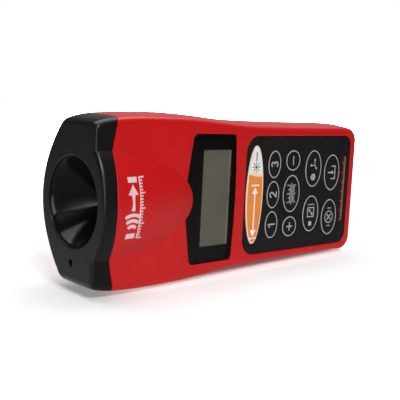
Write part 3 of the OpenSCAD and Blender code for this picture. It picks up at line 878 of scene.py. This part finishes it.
class Print:
    """Flat marks, drawn in reading directions: u runs along +Z and v towards the nose."""

    def __init__(self, cx, cz):
        self.cx = cx
        self.cz = cz
        self.areas = []

    def fill(self, points):
        self.areas.append([(self.cx - v, self.cz + u) for u, v in points])

    def dot(self, u, v, r, steps=20):
        self.fill(ellipse(u, v, r, r, steps))

    def line(self, points, width, caps=True):
        for a, b in zip(points, points[1:]):
            size = math.hypot(b[0] - a[0], b[1] - a[1])
            nu, nv = (b[1] - a[1]) / size * width / 2, -(b[0] - a[0]) / size * width / 2
            self.fill([(a[0] + nu, a[1] + nv), (a[0] - nu, a[1] - nv),
                       (b[0] - nu, b[1] - nv), (b[0] + nu, b[1] + nv)])
        for u, v in points if caps else points[1:-1]:
            self.dot(u, v, width / 2, 14)

    def curve(self, u, v, r, start, end, width, steps=14, caps=True):
        self.line(arc(u, v, r, start, end, steps), width, caps)

    def band(self, outer, inner):
        """A ring between two loops of the same length, given in X and Z."""
        n = len(outer)
        for i in range(n):
            j = (i + 1) % n
            self.areas.append([outer[i], outer[j], inner[j], inner[i]])

    def build(self, name, surface, thickness=0.03):
        """Lays the marks on a surface y(x, z) as one thin closed layer."""
        coords, found = triangles(self.areas, 0.9)
        found = [f for f, owner in found if owner]
        shape = Shape()
        top = shape.add([(x, surface(x, z) - thickness, z) for x, z in coords])
        low = shape.add([(x, surface(x, z) + 0.01, z) for x, z in coords])
        sides = {}
        for f in found:
            shape.faces.append(tuple(top[i] for i in f))
            shape.faces.append(tuple(low[i] for i in reversed(f)))
            for a, b in zip(f, f[1:] + f[:1]):
                sides[(a, b)] = sides.get((a, b), 0) + 1
        for a, b in sides:
            if (b, a) not in sides:
                shape.faces.append((top[a], top[b], low[b], low[a]))
        return shape.build(name, weld=0.0004)


def key_outline(mark, key):
    cx, cz, sx, sz = key
    mark.band(*[ellipse(cx, cz, sx / 2 - inset, sz / 2 - inset) for inset in (0.2, 0.7)])


def digit(mark, number, u, v, h, width):
    """A stroke numeral of height h centred on u, v."""
    top, low, r = v + h / 2, v - h / 2, h * 0.27
    if number == 1:
        mark.line([(u - 0.28 * h, top - 0.26 * h), (u + 0.04 * h, top), (u + 0.04 * h, low)], width)
    elif number == 2:
        mark.curve(u, top - r, r, 165, -35, width)
        mark.line([(u + 0.82 * r, top - 1.57 * r), (u - r, low), (u + 1.05 * r, low)], width)
    else:
        small, big = h * 0.235, h * 0.27
        mark.curve(u, top - small, small, 150, -80, width)
        mark.curve(u, low + big, big, 80, -150, width)


def arrow(mark, u0, v0, u1, v1, width, head):
    """A line with a filled head at its far end."""
    size = math.hypot(u1 - u0, v1 - v0)
    du, dv = (u1 - u0) / size, (v1 - v0) / size
    mark.line([(u0, v0), (u1 - du * head * 0.7, v1 - dv * head * 0.7)], width, caps=False)
    mark.fill([(u1, v1), (u1 - du * head - dv * head * 0.62, v1 - dv * head + du * head * 0.62),
               (u1 - du * head + dv * head * 0.62, v1 - dv * head - du * head * 0.62)])


def ruler(mark, u0, u1, v, ticks, tall, short, every, width):
    mark.line([(u0, v), (u1, v)], width, caps=False)
    for k in range(ticks + 1):
        u = u0 + (u1 - u0) * k / ticks
        mark.line([(u, v), (u, v + (tall if k % every == 0 else short))], width, caps=False)


def draw_units(mark):
    mark.line([(-5.2, 0), (5.2, 0)], 0.45)
    ruler(mark, -4.2, 4.2, 1.0, 4, 2.2, 1.3, 2, 0.42)
    ruler(mark, -4.2, 4.2, -1.0, 12, -2.2, -1.2, 6, 0.3)


def draw_area(mark):
    mark.fill([(-6.2, -1.1), (-4.0, -1.1), (-4.0, 1.1), (-6.2, 1.1)])
    mark.line([(-1.6, -2.3), (3.0, -2.3), (3.0, 2.3), (-1.6, 2.3), (-1.6, -2.3)], 0.5)
    arrow(mark, -0.5, -1.2, 2.3, 1.6, 0.42, 1.3)
    arrow(mark, 1.9, 1.2, -0.9, -1.6, 0.42, 1.3)
    mark.line([(4.6, -2.3), (4.6, 2.3)], 0.42)


def draw_volume(mark):
    u, s = -4.3, 2.0
    hexagon = arc(u, 0, s, 90, -210, 5)
    inner = 0.13
    for k in range(0, 6, 2):
        quad = [(u, 0), hexagon[k - 1], hexagon[k], hexagon[(k + 1) % 6]]
        cu = sum(p[0] for p in quad) / 4
        cv = sum(p[1] for p in quad) / 4
        mark.fill([(p[0] + (cu - p[0]) * inner, p[1] + (cv - p[1]) * inner) for p in quad])
    arrow(mark, 1.6, -0.7, 1.6, 2.8, 0.45, 1.2)
    arrow(mark, 1.6, -0.7, 5.2, -0.7, 0.45, 1.2)
    arrow(mark, 1.6, -0.7, -0.6, -2.5, 0.45, 1.2)


def draw_clear(mark):
    mark.curve(0, 0, 3.0, 0, 360, 0.5, 28)
    mark.line([(-1.3, -1.3), (1.3, 1.3)], 0.6)
    mark.line([(-1.3, 1.3), (1.3, -1.3)], 0.6)
    for side in (-1, 1):
        mark.line([(side * 4.6, -1.2), (side * 4.6, 1.2)], 0.45)


def draw_store(mark):
    mark.line([(-3.2, 0.4), (-3.2, -2.4), (3.2, -2.4), (3.2, 0.4)], 0.6)
    arrow(mark, 0, 3.0, 0, -1.5, 0.6, 1.7)


def draw_plus(mark):
    mark.line([(-2.1, 0), (2.1, 0)], 0.6, caps=False)
    mark.line([(0, -2.1), (0, 2.1)], 0.6, caps=False)


def draw_minus(mark):
    mark.line([(-2.2, 0), (2.2, 0)], 0.6, caps=False)


DRAWINGS = {"units": draw_units, "area": draw_area, "volume": draw_volume, "clear": draw_clear,
            "store": draw_store, "plus": draw_plus, "minus": draw_minus}


def clipped_ellipse(key, margin, low, high, slant):
    """The part of a key's inner ellipse between two slanted lines across it, in X and Z."""
    cx, cz, sx, sz = key
    points = ellipse(cx, cz, sx / 2 - margin, sz / 2 - margin, 240)
    inside = [low < z - cz - slant * (x - cx) < high for x, z in points]
    first = next(i for i in range(len(points)) if inside[i] and not inside[i - 1])
    order = [(first + k) % len(points) for k in range(len(points))]
    return [points[i] for i in order if inside[i]]


# ---------------------------------------------------------------- materials

def new_material(name):
    """A material with its nodes, its shader and the piece's own coordinates."""
    material = bpy.data.materials.new(name)
    material.use_nodes = True
    tree = material.node_tree
    tree.nodes.clear()
    out = tree.nodes.new("ShaderNodeOutputMaterial")
    shader = tree.nodes.new("ShaderNodeBsdfPrincipled")
    tree.links.new(shader.outputs["BSDF"], out.inputs["Surface"])
    coordinates = tree.nodes.new("ShaderNodeTexCoord").outputs["Object"]
    return material, tree, shader, coordinates


def noise(tree, coordinates, scale, detail=3.0, roughness=0.5):
    node = tree.nodes.new("ShaderNodeTexNoise")
    node.inputs["Scale"].default_value = scale
    node.inputs["Detail"].default_value = detail
    node.inputs["Roughness"].default_value = roughness
    tree.links.new(coordinates, node.inputs["Vector"])
    return node.outputs["Fac"]


def spread(tree, value, low, high, start=0.3, end=0.7, smooth=False):
    """Runs from low to high while the value runs from start to end."""
    node = tree.nodes.new("ShaderNodeMapRange")
    node.interpolation_type = "SMOOTHSTEP" if smooth else "LINEAR"
    node.inputs["From Min"].default_value = start
    node.inputs["From Max"].default_value = end
    node.inputs["To Min"].default_value = low
    node.inputs["To Max"].default_value = high
    tree.links.new(value, node.inputs["Value"])
    return node.outputs["Result"]


def worked_out(tree, kind, operation, a, b, output="Value"):
    """The result of a math node on another node's output and a constant or second output."""
    node = tree.nodes.new(kind)
    node.operation = operation
    tree.links.new(a, node.inputs[0])
    if isinstance(b, bpy.types.NodeSocket):
        tree.links.new(b, node.inputs[1])
    else:
        node.inputs[1].default_value = b
    return node.outputs[output]


def moulded(name, color, rough=0.35, grain=2600.0, bump=0.12, depth=0.00002, vary=0.08,
            coat=0.0, metal=0.0, specular=0.5, rough_vary=0.06):
    """Moulded or painted surface: slight colour drift, uneven gloss and a fine surface grain."""
    material, tree, shader, coordinates = new_material(name)
    drift = noise(tree, coordinates, 38.0)
    mix = tree.nodes.new("ShaderNodeMix")
    mix.data_type = "RGBA"
    mix.inputs["A"].default_value = [c * (1 - vary) for c in color] + [1]
    mix.inputs["B"].default_value = [min(1.0, c * (1 + vary)) for c in color] + [1]
    tree.links.new(spread(tree, drift, 0, 1), mix.inputs["Factor"])
    tree.links.new(mix.outputs["Result"], shader.inputs["Base Color"])
    patch = noise(tree, coordinates, 160.0, 4.0, 0.6)
    gloss = spread(tree, patch, rough - rough_vary, rough + rough_vary)
    tree.links.new(gloss, shader.inputs["Roughness"])
    bump_node = tree.nodes.new("ShaderNodeBump")
    bump_node.inputs["Strength"].default_value = bump
    bump_node.inputs["Distance"].default_value = depth
    tree.links.new(noise(tree, coordinates, grain), bump_node.inputs["Height"])
    tree.links.new(bump_node.outputs["Normal"], shader.inputs["Normal"])
    shader.inputs["Metallic"].default_value = metal
    shader.inputs["Specular IOR Level"].default_value = specular
    shader.inputs["Coat Weight"].default_value = coat
    shader.inputs["Coat Roughness"].default_value = 0.12
    return material


def clear_plastic(name, color, rough):
    material, tree, shader, coordinates = new_material(name)
    shader.inputs["Base Color"].default_value = list(color) + [1]
    shader.inputs["Transmission Weight"].default_value = 1.0
    shader.inputs["IOR"].default_value = 1.46
    gloss = spread(tree, noise(tree, coordinates, 300.0), rough * 0.6, rough * 1.4)
    tree.links.new(gloss, shader.inputs["Roughness"])
    return material


def window_plastic(name, tint, mirrored):
    """A flat clear pane: light goes straight through, with a constant share mirrored."""
    material, tree, shader, coordinates = new_material(name)
    shader.inputs["Base Color"].default_value = (1, 1, 1, 1)
    shader.inputs["Metallic"].default_value = 1.0
    gloss = spread(tree, noise(tree, coordinates, 240.0), 0.02, 0.07)
    tree.links.new(gloss, shader.inputs["Roughness"])
    through = tree.nodes.new("ShaderNodeBsdfTransparent")
    through.inputs["Color"].default_value = list(tint) + [1]
    mix = tree.nodes.new("ShaderNodeMixShader")
    mix.inputs["Fac"].default_value = mirrored
    out = next(n for n in tree.nodes if n.type == "OUTPUT_MATERIAL")
    tree.links.new(through.outputs["BSDF"], mix.inputs[1])
    tree.links.new(shader.outputs["BSDF"], mix.inputs[2])
    tree.links.new(mix.outputs["Shader"], out.inputs["Surface"])
    return material


RED = moulded("red_plastic", (0.56, 0.0075, 0.009), rough=0.3, grain=4000, bump=0.3, depth=0.000002,
              vary=0.03, coat=0.05, specular=0.4, rough_vary=0.02)
BLACK = moulded("black_plastic", (0.0072, 0.0066, 0.0068), rough=0.3, grain=4000, bump=0.4,
                depth=0.000004, vary=0.12, specular=0.4, rough_vary=0.03)
GLOSS_BLACK = moulded("gloss_black", (0.004, 0.004, 0.005), rough=0.16, grain=900, bump=0.04,
                      vary=0.1, specular=0.24, rough_vary=0.03)
PAD_BLACK = moulded("keypad_black", (0.011, 0.009, 0.0095), rough=0.4, grain=5200, bump=0.35,
                    depth=0.00002, vary=0.12, specular=0.35)
INK = {"rough": 0.5, "grain": 6000, "bump": 0.2}
PAINT_GREY = moulded("print_grey", (0.44, 0.43, 0.42), vary=0.06, **INK)
PAINT_PINK = moulded("print_pink", (0.8, 0.56, 0.58), vary=0.03, **INK)
PAINT_WHITE = moulded("print_white", (0.86, 0.84, 0.84), vary=0.03, **INK)
PAINT_RUST = moulded("print_rust", (0.42, 0.16, 0.05), **INK)
PAINT_DARK = moulded("print_dark", (0.09, 0.085, 0.08), **INK)
SATIN = {"rough": 0.42, "grain": 5000, "bump": 0.25}
PAINT_ORANGE = moulded("print_orange", (0.858, 0.259, 0.035), vary=0.06, **SATIN)
CREAM = moulded("key_cream", (0.85, 0.72, 0.52), vary=0.04, **SATIN)
WINDOW = window_plastic("window_clear", (0.9, 0.9, 0.91), 0.035)
MASK = moulded("mask_black", (0.002, 0.002, 0.0022), rough=0.5, grain=4000, bump=0.1, depth=0.000002,
               vary=0.15, specular=0.12)
LCD_GLASS = moulded("lcd_edge", (0.264, 0.243, 0.19), rough=0.3, grain=7000, bump=0.3, vary=0.05)
LCD = moulded("lcd_reflector", (0.187, 0.175, 0.13), rough=0.34, grain=7000, bump=0.5, vary=0.07)

NODE_LOOKS = {
    "transducer_boot": moulded("boot_rubber", (0.02, 0.02, 0.02), rough=0.75, grain=2500, bump=0.4),
    "ultrasonic_transducer": moulded("can_metal", (0.62, 0.62, 0.63), rough=0.3, metal=1.0, grain=4000),
    "transducer_mesh": moulded("mesh_metal", (0.35, 0.35, 0.36), rough=0.4, metal=1.0, grain=4000),
    "transducer_leads": moulded("lead_white", (0.7, 0.68, 0.6), rough=0.45),
    "laser_module": moulded("turned_brass", (0.72, 0.5, 0.2), rough=0.28, metal=1.0, grain=1500),
    "laser_lens": clear_plastic("lens_clear", (0.9, 0.95, 0.95), 0.02),
    "laser_leads": moulded("lead_red", (0.5, 0.02, 0.02), rough=0.45),
    "lcd_frame": moulded("frame_plastic", (0.5, 0.5, 0.48), rough=0.5),
    "zebra_strips": moulded("zebra_rubber", (0.1, 0.1, 0.11), rough=0.7, grain=9000),
    "key_mat": moulded("silicone", (0.4, 0.4, 0.38), rough=0.65, grain=1500, bump=0.3),
    "main_board": moulded("solder_mask", (0.015, 0.13, 0.05), rough=0.3, grain=700, bump=0.3, vary=0.2),
    "microcontroller": moulded("chip_epoxy", (0.02, 0.02, 0.021), rough=0.55, grain=5000, bump=0.5),
    "quartz_crystal": moulded("crystal_can", (0.65, 0.65, 0.64), rough=0.25, metal=1.0, grain=1800),
    "board_capacitors": moulded("capacitor_sleeve", (0.015, 0.02, 0.1), rough=0.3),
    "drive_transformer": moulded("coil_tape", (0.55, 0.42, 0.08), rough=0.4, grain=900, bump=0.4),
    "buzzer": moulded("buzzer_case", (0.018, 0.018, 0.018), rough=0.5, grain=2500, bump=0.3),
    "battery_block": moulded("battery_jacket", (0.05, 0.13, 0.2), rough=0.3, metal=0.3, vary=0.2),
    "battery_terminals": moulded("plated_contact", (0.7, 0.7, 0.68), rough=0.22, metal=1.0),
    "battery_connector": moulded("soft_vinyl", (0.018, 0.018, 0.018), rough=0.6, grain=1200, bump=0.4),
    "battery_leads": moulded("lead_crimson", (0.5, 0.015, 0.015), rough=0.45),
    "battery_pad": moulded("open_foam", (0.05, 0.05, 0.055), rough=0.95, grain=900, bump=1.0,
                           depth=0.0004),
    "board_screws": moulded("zinc_screw", (0.6, 0.6, 0.58), rough=0.35, metal=1.0, grain=3000),
    "housing_screws": moulded("black_screw", (0.06, 0.06, 0.06), rough=0.4, metal=0.8, grain=3000),
}
NODE_LOOKS["amplifier_chip"] = NODE_LOOKS["microcontroller"]


# Painted glow of the floor, which is no lamp: (share of the reach from the line that the meter lies on,
# strength)
PAINTED_GLOW_REACH = 0.2
# The painted glow is weakest at that line, painting the meter's contact shadow. Just beside it the glow
# peaks and dips, painting light over the edge of the cast shadow.
PAINTED_FLOOR_GLOW = [(0.0, 0.0), (1.0, 0.8), (0.045, 0.12), (0.07, 0.42), (0.11, 0.28), (0.175, 0.22), (0.5, 0.32)]


def floor_with_painted_glow(near, far):
    """Pale paper with a painted glow: little emission near the line from near to far, which paints the
    contact shadow there, and more away from it.
    """
    material, tree, shader, coordinates = new_material("floor_with_painted_glow")
    shader.inputs["Base Color"].default_value = (0.8, 0.8, 0.8, 1)
    shader.inputs["Specular IOR Level"].default_value = 0.1
    gloss = spread(tree, noise(tree, coordinates, 60.0), 0.75, 0.85)
    tree.links.new(gloss, shader.inputs["Roughness"])
    vector_math = "ShaderNodeVectorMath"
    line = worked_out(tree, vector_math, "MAXIMUM", coordinates, (near, 0, 0), "Vector")
    line = worked_out(tree, vector_math, "MINIMUM", line, (far, 0, 0), "Vector")
    distance = worked_out(tree, vector_math, "DISTANCE", coordinates, line)
    share = worked_out(tree, "ShaderNodeMath", "DIVIDE", distance, PAINTED_GLOW_REACH)
    # Painted light and shade: the floor's emission follows the distance from the line that the meter
    # lies on, not any lamp.
    painted_glow = tree.nodes.new("ShaderNodeFloatCurve")
    curve = painted_glow.mapping.curves[0]
    curve.points[0].location, curve.points[1].location = PAINTED_FLOOR_GLOW[:2]
    for place in PAINTED_FLOOR_GLOW[2:]:
        curve.points.new(*place)
    painted_glow.mapping.update()
    tree.links.new(share, painted_glow.inputs["Value"])
    shader.inputs["Emission Color"].default_value = (1, 1, 1, 1)
    tree.links.new(painted_glow.outputs["Value"], shader.inputs["Emission Strength"])
    return material


def dress_nodes():
    for name, material in NODE_LOOKS.items():
        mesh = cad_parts[name].data
        mesh.materials.clear()
        mesh.materials.append(material)


# ---------------------------------------------------------------- putting it together

def make_housing():
    piece(front_shell(), "housing", RED, "red_plastic", "front_shell")
    piece(back_shell(), "housing", RED, "red_plastic", "back_shell")
    piece(battery_door(), "battery_door", RED, "red_plastic", "battery_door")
    piece(nose_cap(), "housing", BLACK, "black_plastic", "nose_cap")
    piece(horn_cone(), "housing", GLOSS_BLACK, "gloss_black", "horn_cone")


def make_display():
    window = slab("display_window_skin", window_loop(-0.12), [], WINDOW_TOP, WINDOW_BACK - 0.05, 0.2)
    piece(window, "housing", WINDOW, "window", "display_window")
    piece(window_mask(), "housing", MASK, "mask_black", "window_mask")
    lcd = slab("lcd_glass_skin", rounded_rect(*LCD_PLATE), [], LCD_TOP, SEAT_BACK, 0.1)
    piece(lcd, "housing", LCD_GLASS, "lcd", "lcd_glass")
    x0, x1, z0, z1, r = LCD_PLATE
    outline = rounded_rect(x0 + 0.6, x1 - 1.4, z0 + 0.5, z1 - 0.5, r)
    film = slab("lcd_film", outline, [], LCD_TOP - 0.08, LCD_TOP + 0.01, 0.02)
    piece(film, "housing", LCD, "lcd")


def make_measure_key(key):
    """The long key: an orange and a white field, a double arrow and a laser mark."""
    body = "measure_key"
    surface = key_crown(key)
    piece(key_cap("measure_key_skin", key), body, CREAM, "key_orange", body)
    split, slant, end, half_gap = 9.7, -0.12, 60, 0.25
    orange, white, arrows, laser = [Print(key[0], key[1]) for _ in range(4)]
    orange.areas.append(clipped_ellipse(key, 0.75, -end, split - half_gap, slant))
    piece(orange.build("measure_orange", surface, 0.02), body, PAINT_ORANGE, "key_orange")
    white.areas.append(clipped_ellipse(key, 0.75, split + half_gap, end, slant))
    piece(white.build("measure_white", surface, 0.02), body, PAINT_WHITE, "key_orange")
    middle = -8.0
    for side in (-1, 1):
        bar = middle + side * 12.6
        arrows.line([(bar, -2.2), (bar, 2.2)], 0.8)
        arrow(arrows, middle, 0, middle + side * 11.8, 0, 0.8, 3.2)
    piece(arrows.build("measure_arrow", surface, 0.04), body, PAINT_WHITE, "key_orange")
    spot = 13.2
    laser.dot(spot, 0, 0.75)
    for k in range(8):
        a = math.radians(45 * k)
        laser.line([(spot + r * math.cos(a), r * math.sin(a)) for r in (1.3, 2.4)], 0.44)
    laser.line([(16.4, 0), (20.0, 0)], 0.6)
    piece(laser.build("laser_mark", surface, 0.04), body, PAINT_DARK, "key_orange")


def make_keypad():
    gap = 0.15
    holes = [ellipse(cx, cz, sx / 2 + gap, sz / 2 + gap) for cx, cz, sx, sz in KEYS.values()]
    plate = slab("keypad_plate_skin", pad_loop(), holes, FACE_Y, PLATE_BACK, 0.2)
    piece(plate, "housing", PAD_BLACK, "keypad_black", "keypad_plate")
    scale = Print(152.9, 0.6)
    ruler(scale, -16.5, 16.5, -1.1, 33, 2.3, 1.3, 5, 0.42)
    piece(scale.build("keypad_scale", lambda x, z: FACE_Y), "housing", PAINT_RUST, "keypad_black")
    for name, key in KEYS.items():
        body = name + "_key"
        if name == "measure":
            make_measure_key(key)
            continue
        piece(key_cap(name + "_key_skin", key), body, PAD_BLACK, "key_black", body)
        mark = Print(key[0], key[1])
        key_outline(mark, key)
        if name in DRAWINGS:
            DRAWINGS[name](mark)
        else:
            digit(mark, int(name[-1]), 0, 0, 4.2, 0.7)
        piece(mark.build(name + "_print", key_crown(key)), body, PAINT_GREY, "key_black")


def make_dome_mark():
    """Generic marks on the dome: between two bars, sound waves and an arrow, all over a scale."""
    mark = Print(16.2, -0.2)
    for left, right in ((-12.6, -10.4), (10.3, 12.5)):
        mark.fill([(left, -0.4), (right, -0.4), (right, 4.2), (left, 4.2)])
    for k, r in enumerate((2.9, 5.2, 7.5)):
        mark.curve(-10.2, 1.9, r, -38 + 4 * k, 38 - 4 * k, 1.4, caps=False)
    arrow(mark, -1.0, 1.9, 9.6, 1.9, 1.8, 4.2)
    ruler(mark, -12.6, 12.3, -1.7, 20, -2.6, -1.5, 5, 0.62)
    piece(mark.build("dome_mark", dome_at, 0.04), "housing", PAINT_PINK, "red_plastic")


# The meter lies on the sides of its head and of its grip, at these places along it
HEAD_REST = 36
GRIP_REST = 155
FLOOR = [(-1.2, -0.1, 0), (2.4, -0.25, 0), (2.4, 1.6, 0), (-1.2, 1.6, 0)]


def make_floor():
    """The pale floor, its outline in metres from the point where the head rests on it."""
    tilt = math.atan2(side_at(HEAD_REST) - side_at(GRIP_REST), GRIP_REST - HEAD_REST)
    contact = to_frame((HEAD_REST, 0, -side_at(HEAD_REST)))
    shape = bpy.data.meshes.new("floor")
    shape.from_pydata(FLOOR, [], [(0, 1, 2, 3)])
    floor = bpy.data.objects.new("floor", shape)
    bpy.context.scene.collection.objects.link(floor)
    floor.matrix_world = Matrix.Translation(contact) @ Matrix.Rotation(-tilt, 4, "Y")
    # The floor's material paints the meter's contact shadow and the edge of its cast shadow with its
    # glow.
    floor.data.materials.append(floor_with_painted_glow(0.0, 0.115))
    floor.visible_glossy = False


def softbox(name, place, aim, size, power):
    data = bpy.data.lights.new(name, "AREA")
    data.shape = "RECTANGLE"
    data.size, data.size_y = size
    data.energy = power
    lamp = bpy.data.objects.new(name, data)
    lamp.location = place
    lamp.rotation_euler = (Vector(aim) - Vector(place)).to_track_quat("-Z", "Y").to_euler()
    bpy.context.scene.collection.objects.link(lamp)


def make_world():
    """White to look at. As light it is a dark room, except for the bright table below the
    horizon, most of all past the nose, and the pale backdrop behind the meter."""
    world = bpy.data.worlds.new("studio")
    bpy.context.scene.world = world
    world.use_nodes = True
    tree = world.node_tree
    tree.nodes.clear()
    out = tree.nodes.new("ShaderNodeOutputWorld")
    seen, lit = [tree.nodes.new("ShaderNodeBackground") for _ in range(2)]
    seen.inputs["Color"].default_value = (1, 1, 1, 1)
    seen.inputs["Strength"].default_value = 1.0
    lit.inputs["Color"].default_value = (1, 1, 1, 1)
    toward = tree.nodes.new("ShaderNodeTexCoord").outputs["Generated"]
    split = tree.nodes.new("ShaderNodeSeparateXYZ")
    tree.links.new(toward, split.inputs["Vector"])

    def facing(x, y, z):
        direction = Vector((x, y, z)).normalized()
        return worked_out(tree, "ShaderNodeVectorMath", "DOT_PRODUCT", toward, direction)

    table = spread(tree, split.outputs["Z"], 0.0, 0.62, -0.06, -0.36)
    past_nose = spread(tree, facing(-0.84, 0.54, 0), 0.3, 1.0, -0.1, 0.75, smooth=True)
    backdrop = spread(tree, facing(0.8, 0.6, 0.12), 0.04, 0.34, 0.8, 0.97, smooth=True)
    room = worked_out(tree, "ShaderNodeMath", "MULTIPLY", table, past_nose)
    room = worked_out(tree, "ShaderNodeMath", "ADD", room, backdrop)
    tree.links.new(room, lit.inputs["Strength"])
    choose = tree.nodes.new("ShaderNodeMixShader")
    path = tree.nodes.new("ShaderNodeLightPath")
    tree.links.new(path.outputs["Is Camera Ray"], choose.inputs["Fac"])
    tree.links.new(lit.outputs["Background"], choose.inputs[1])
    tree.links.new(seen.outputs["Background"], choose.inputs[2])
    tree.links.new(choose.outputs["Shader"], out.inputs["Surface"])


# The camera's place in millimetres, its azimuth, elevation and roll in degrees, and its lens
CAMERA_PLACE = (-160.6, -264.9, 47.3)
CAMERA_TURN = (40.95, 8.18, 2.83)
LENS = 68.0


def make_camera():
    data = bpy.data.cameras.new("camera")
    data.lens = LENS
    camera = bpy.data.objects.new("camera", data)
    bpy.context.scene.collection.objects.link(camera)
    azimuth, elevation, roll = [math.radians(a) for a in CAMERA_TURN]
    level = math.cos(elevation)
    forward = Vector((math.sin(azimuth) * level, math.cos(azimuth) * level, -math.sin(elevation)))
    turn = forward.to_track_quat("-Z", "Y").to_matrix().to_4x4()
    place = Matrix.Translation(to_frame(CAMERA_PLACE))
    camera.matrix_world = place @ turn @ Matrix.Rotation(roll, 4, "Z")
    bpy.context.scene.camera = camera
    bpy.context.scene.view_settings.view_transform = "Standard"


make_camera()
make_floor()
# Soft lights: place and aim in metres, width and height, power in watts
softbox("top_box", (0.1, 0.2, 0.9), (0.05, 0.1, 0), (1.1, 0.8), 8)
softbox("front_box", (-0.35, -0.8, 0.9), (0, 0, 0.03), (0.5, 0.35), 8.2)
softbox("strip_box", (-0.62, -0.52, 0.2), (-0.05, 0, 0.04), (0.16, 0.5), 1.3)
make_world()
dress_nodes()
make_housing()
make_display()
make_keypad()
make_dome_mark()
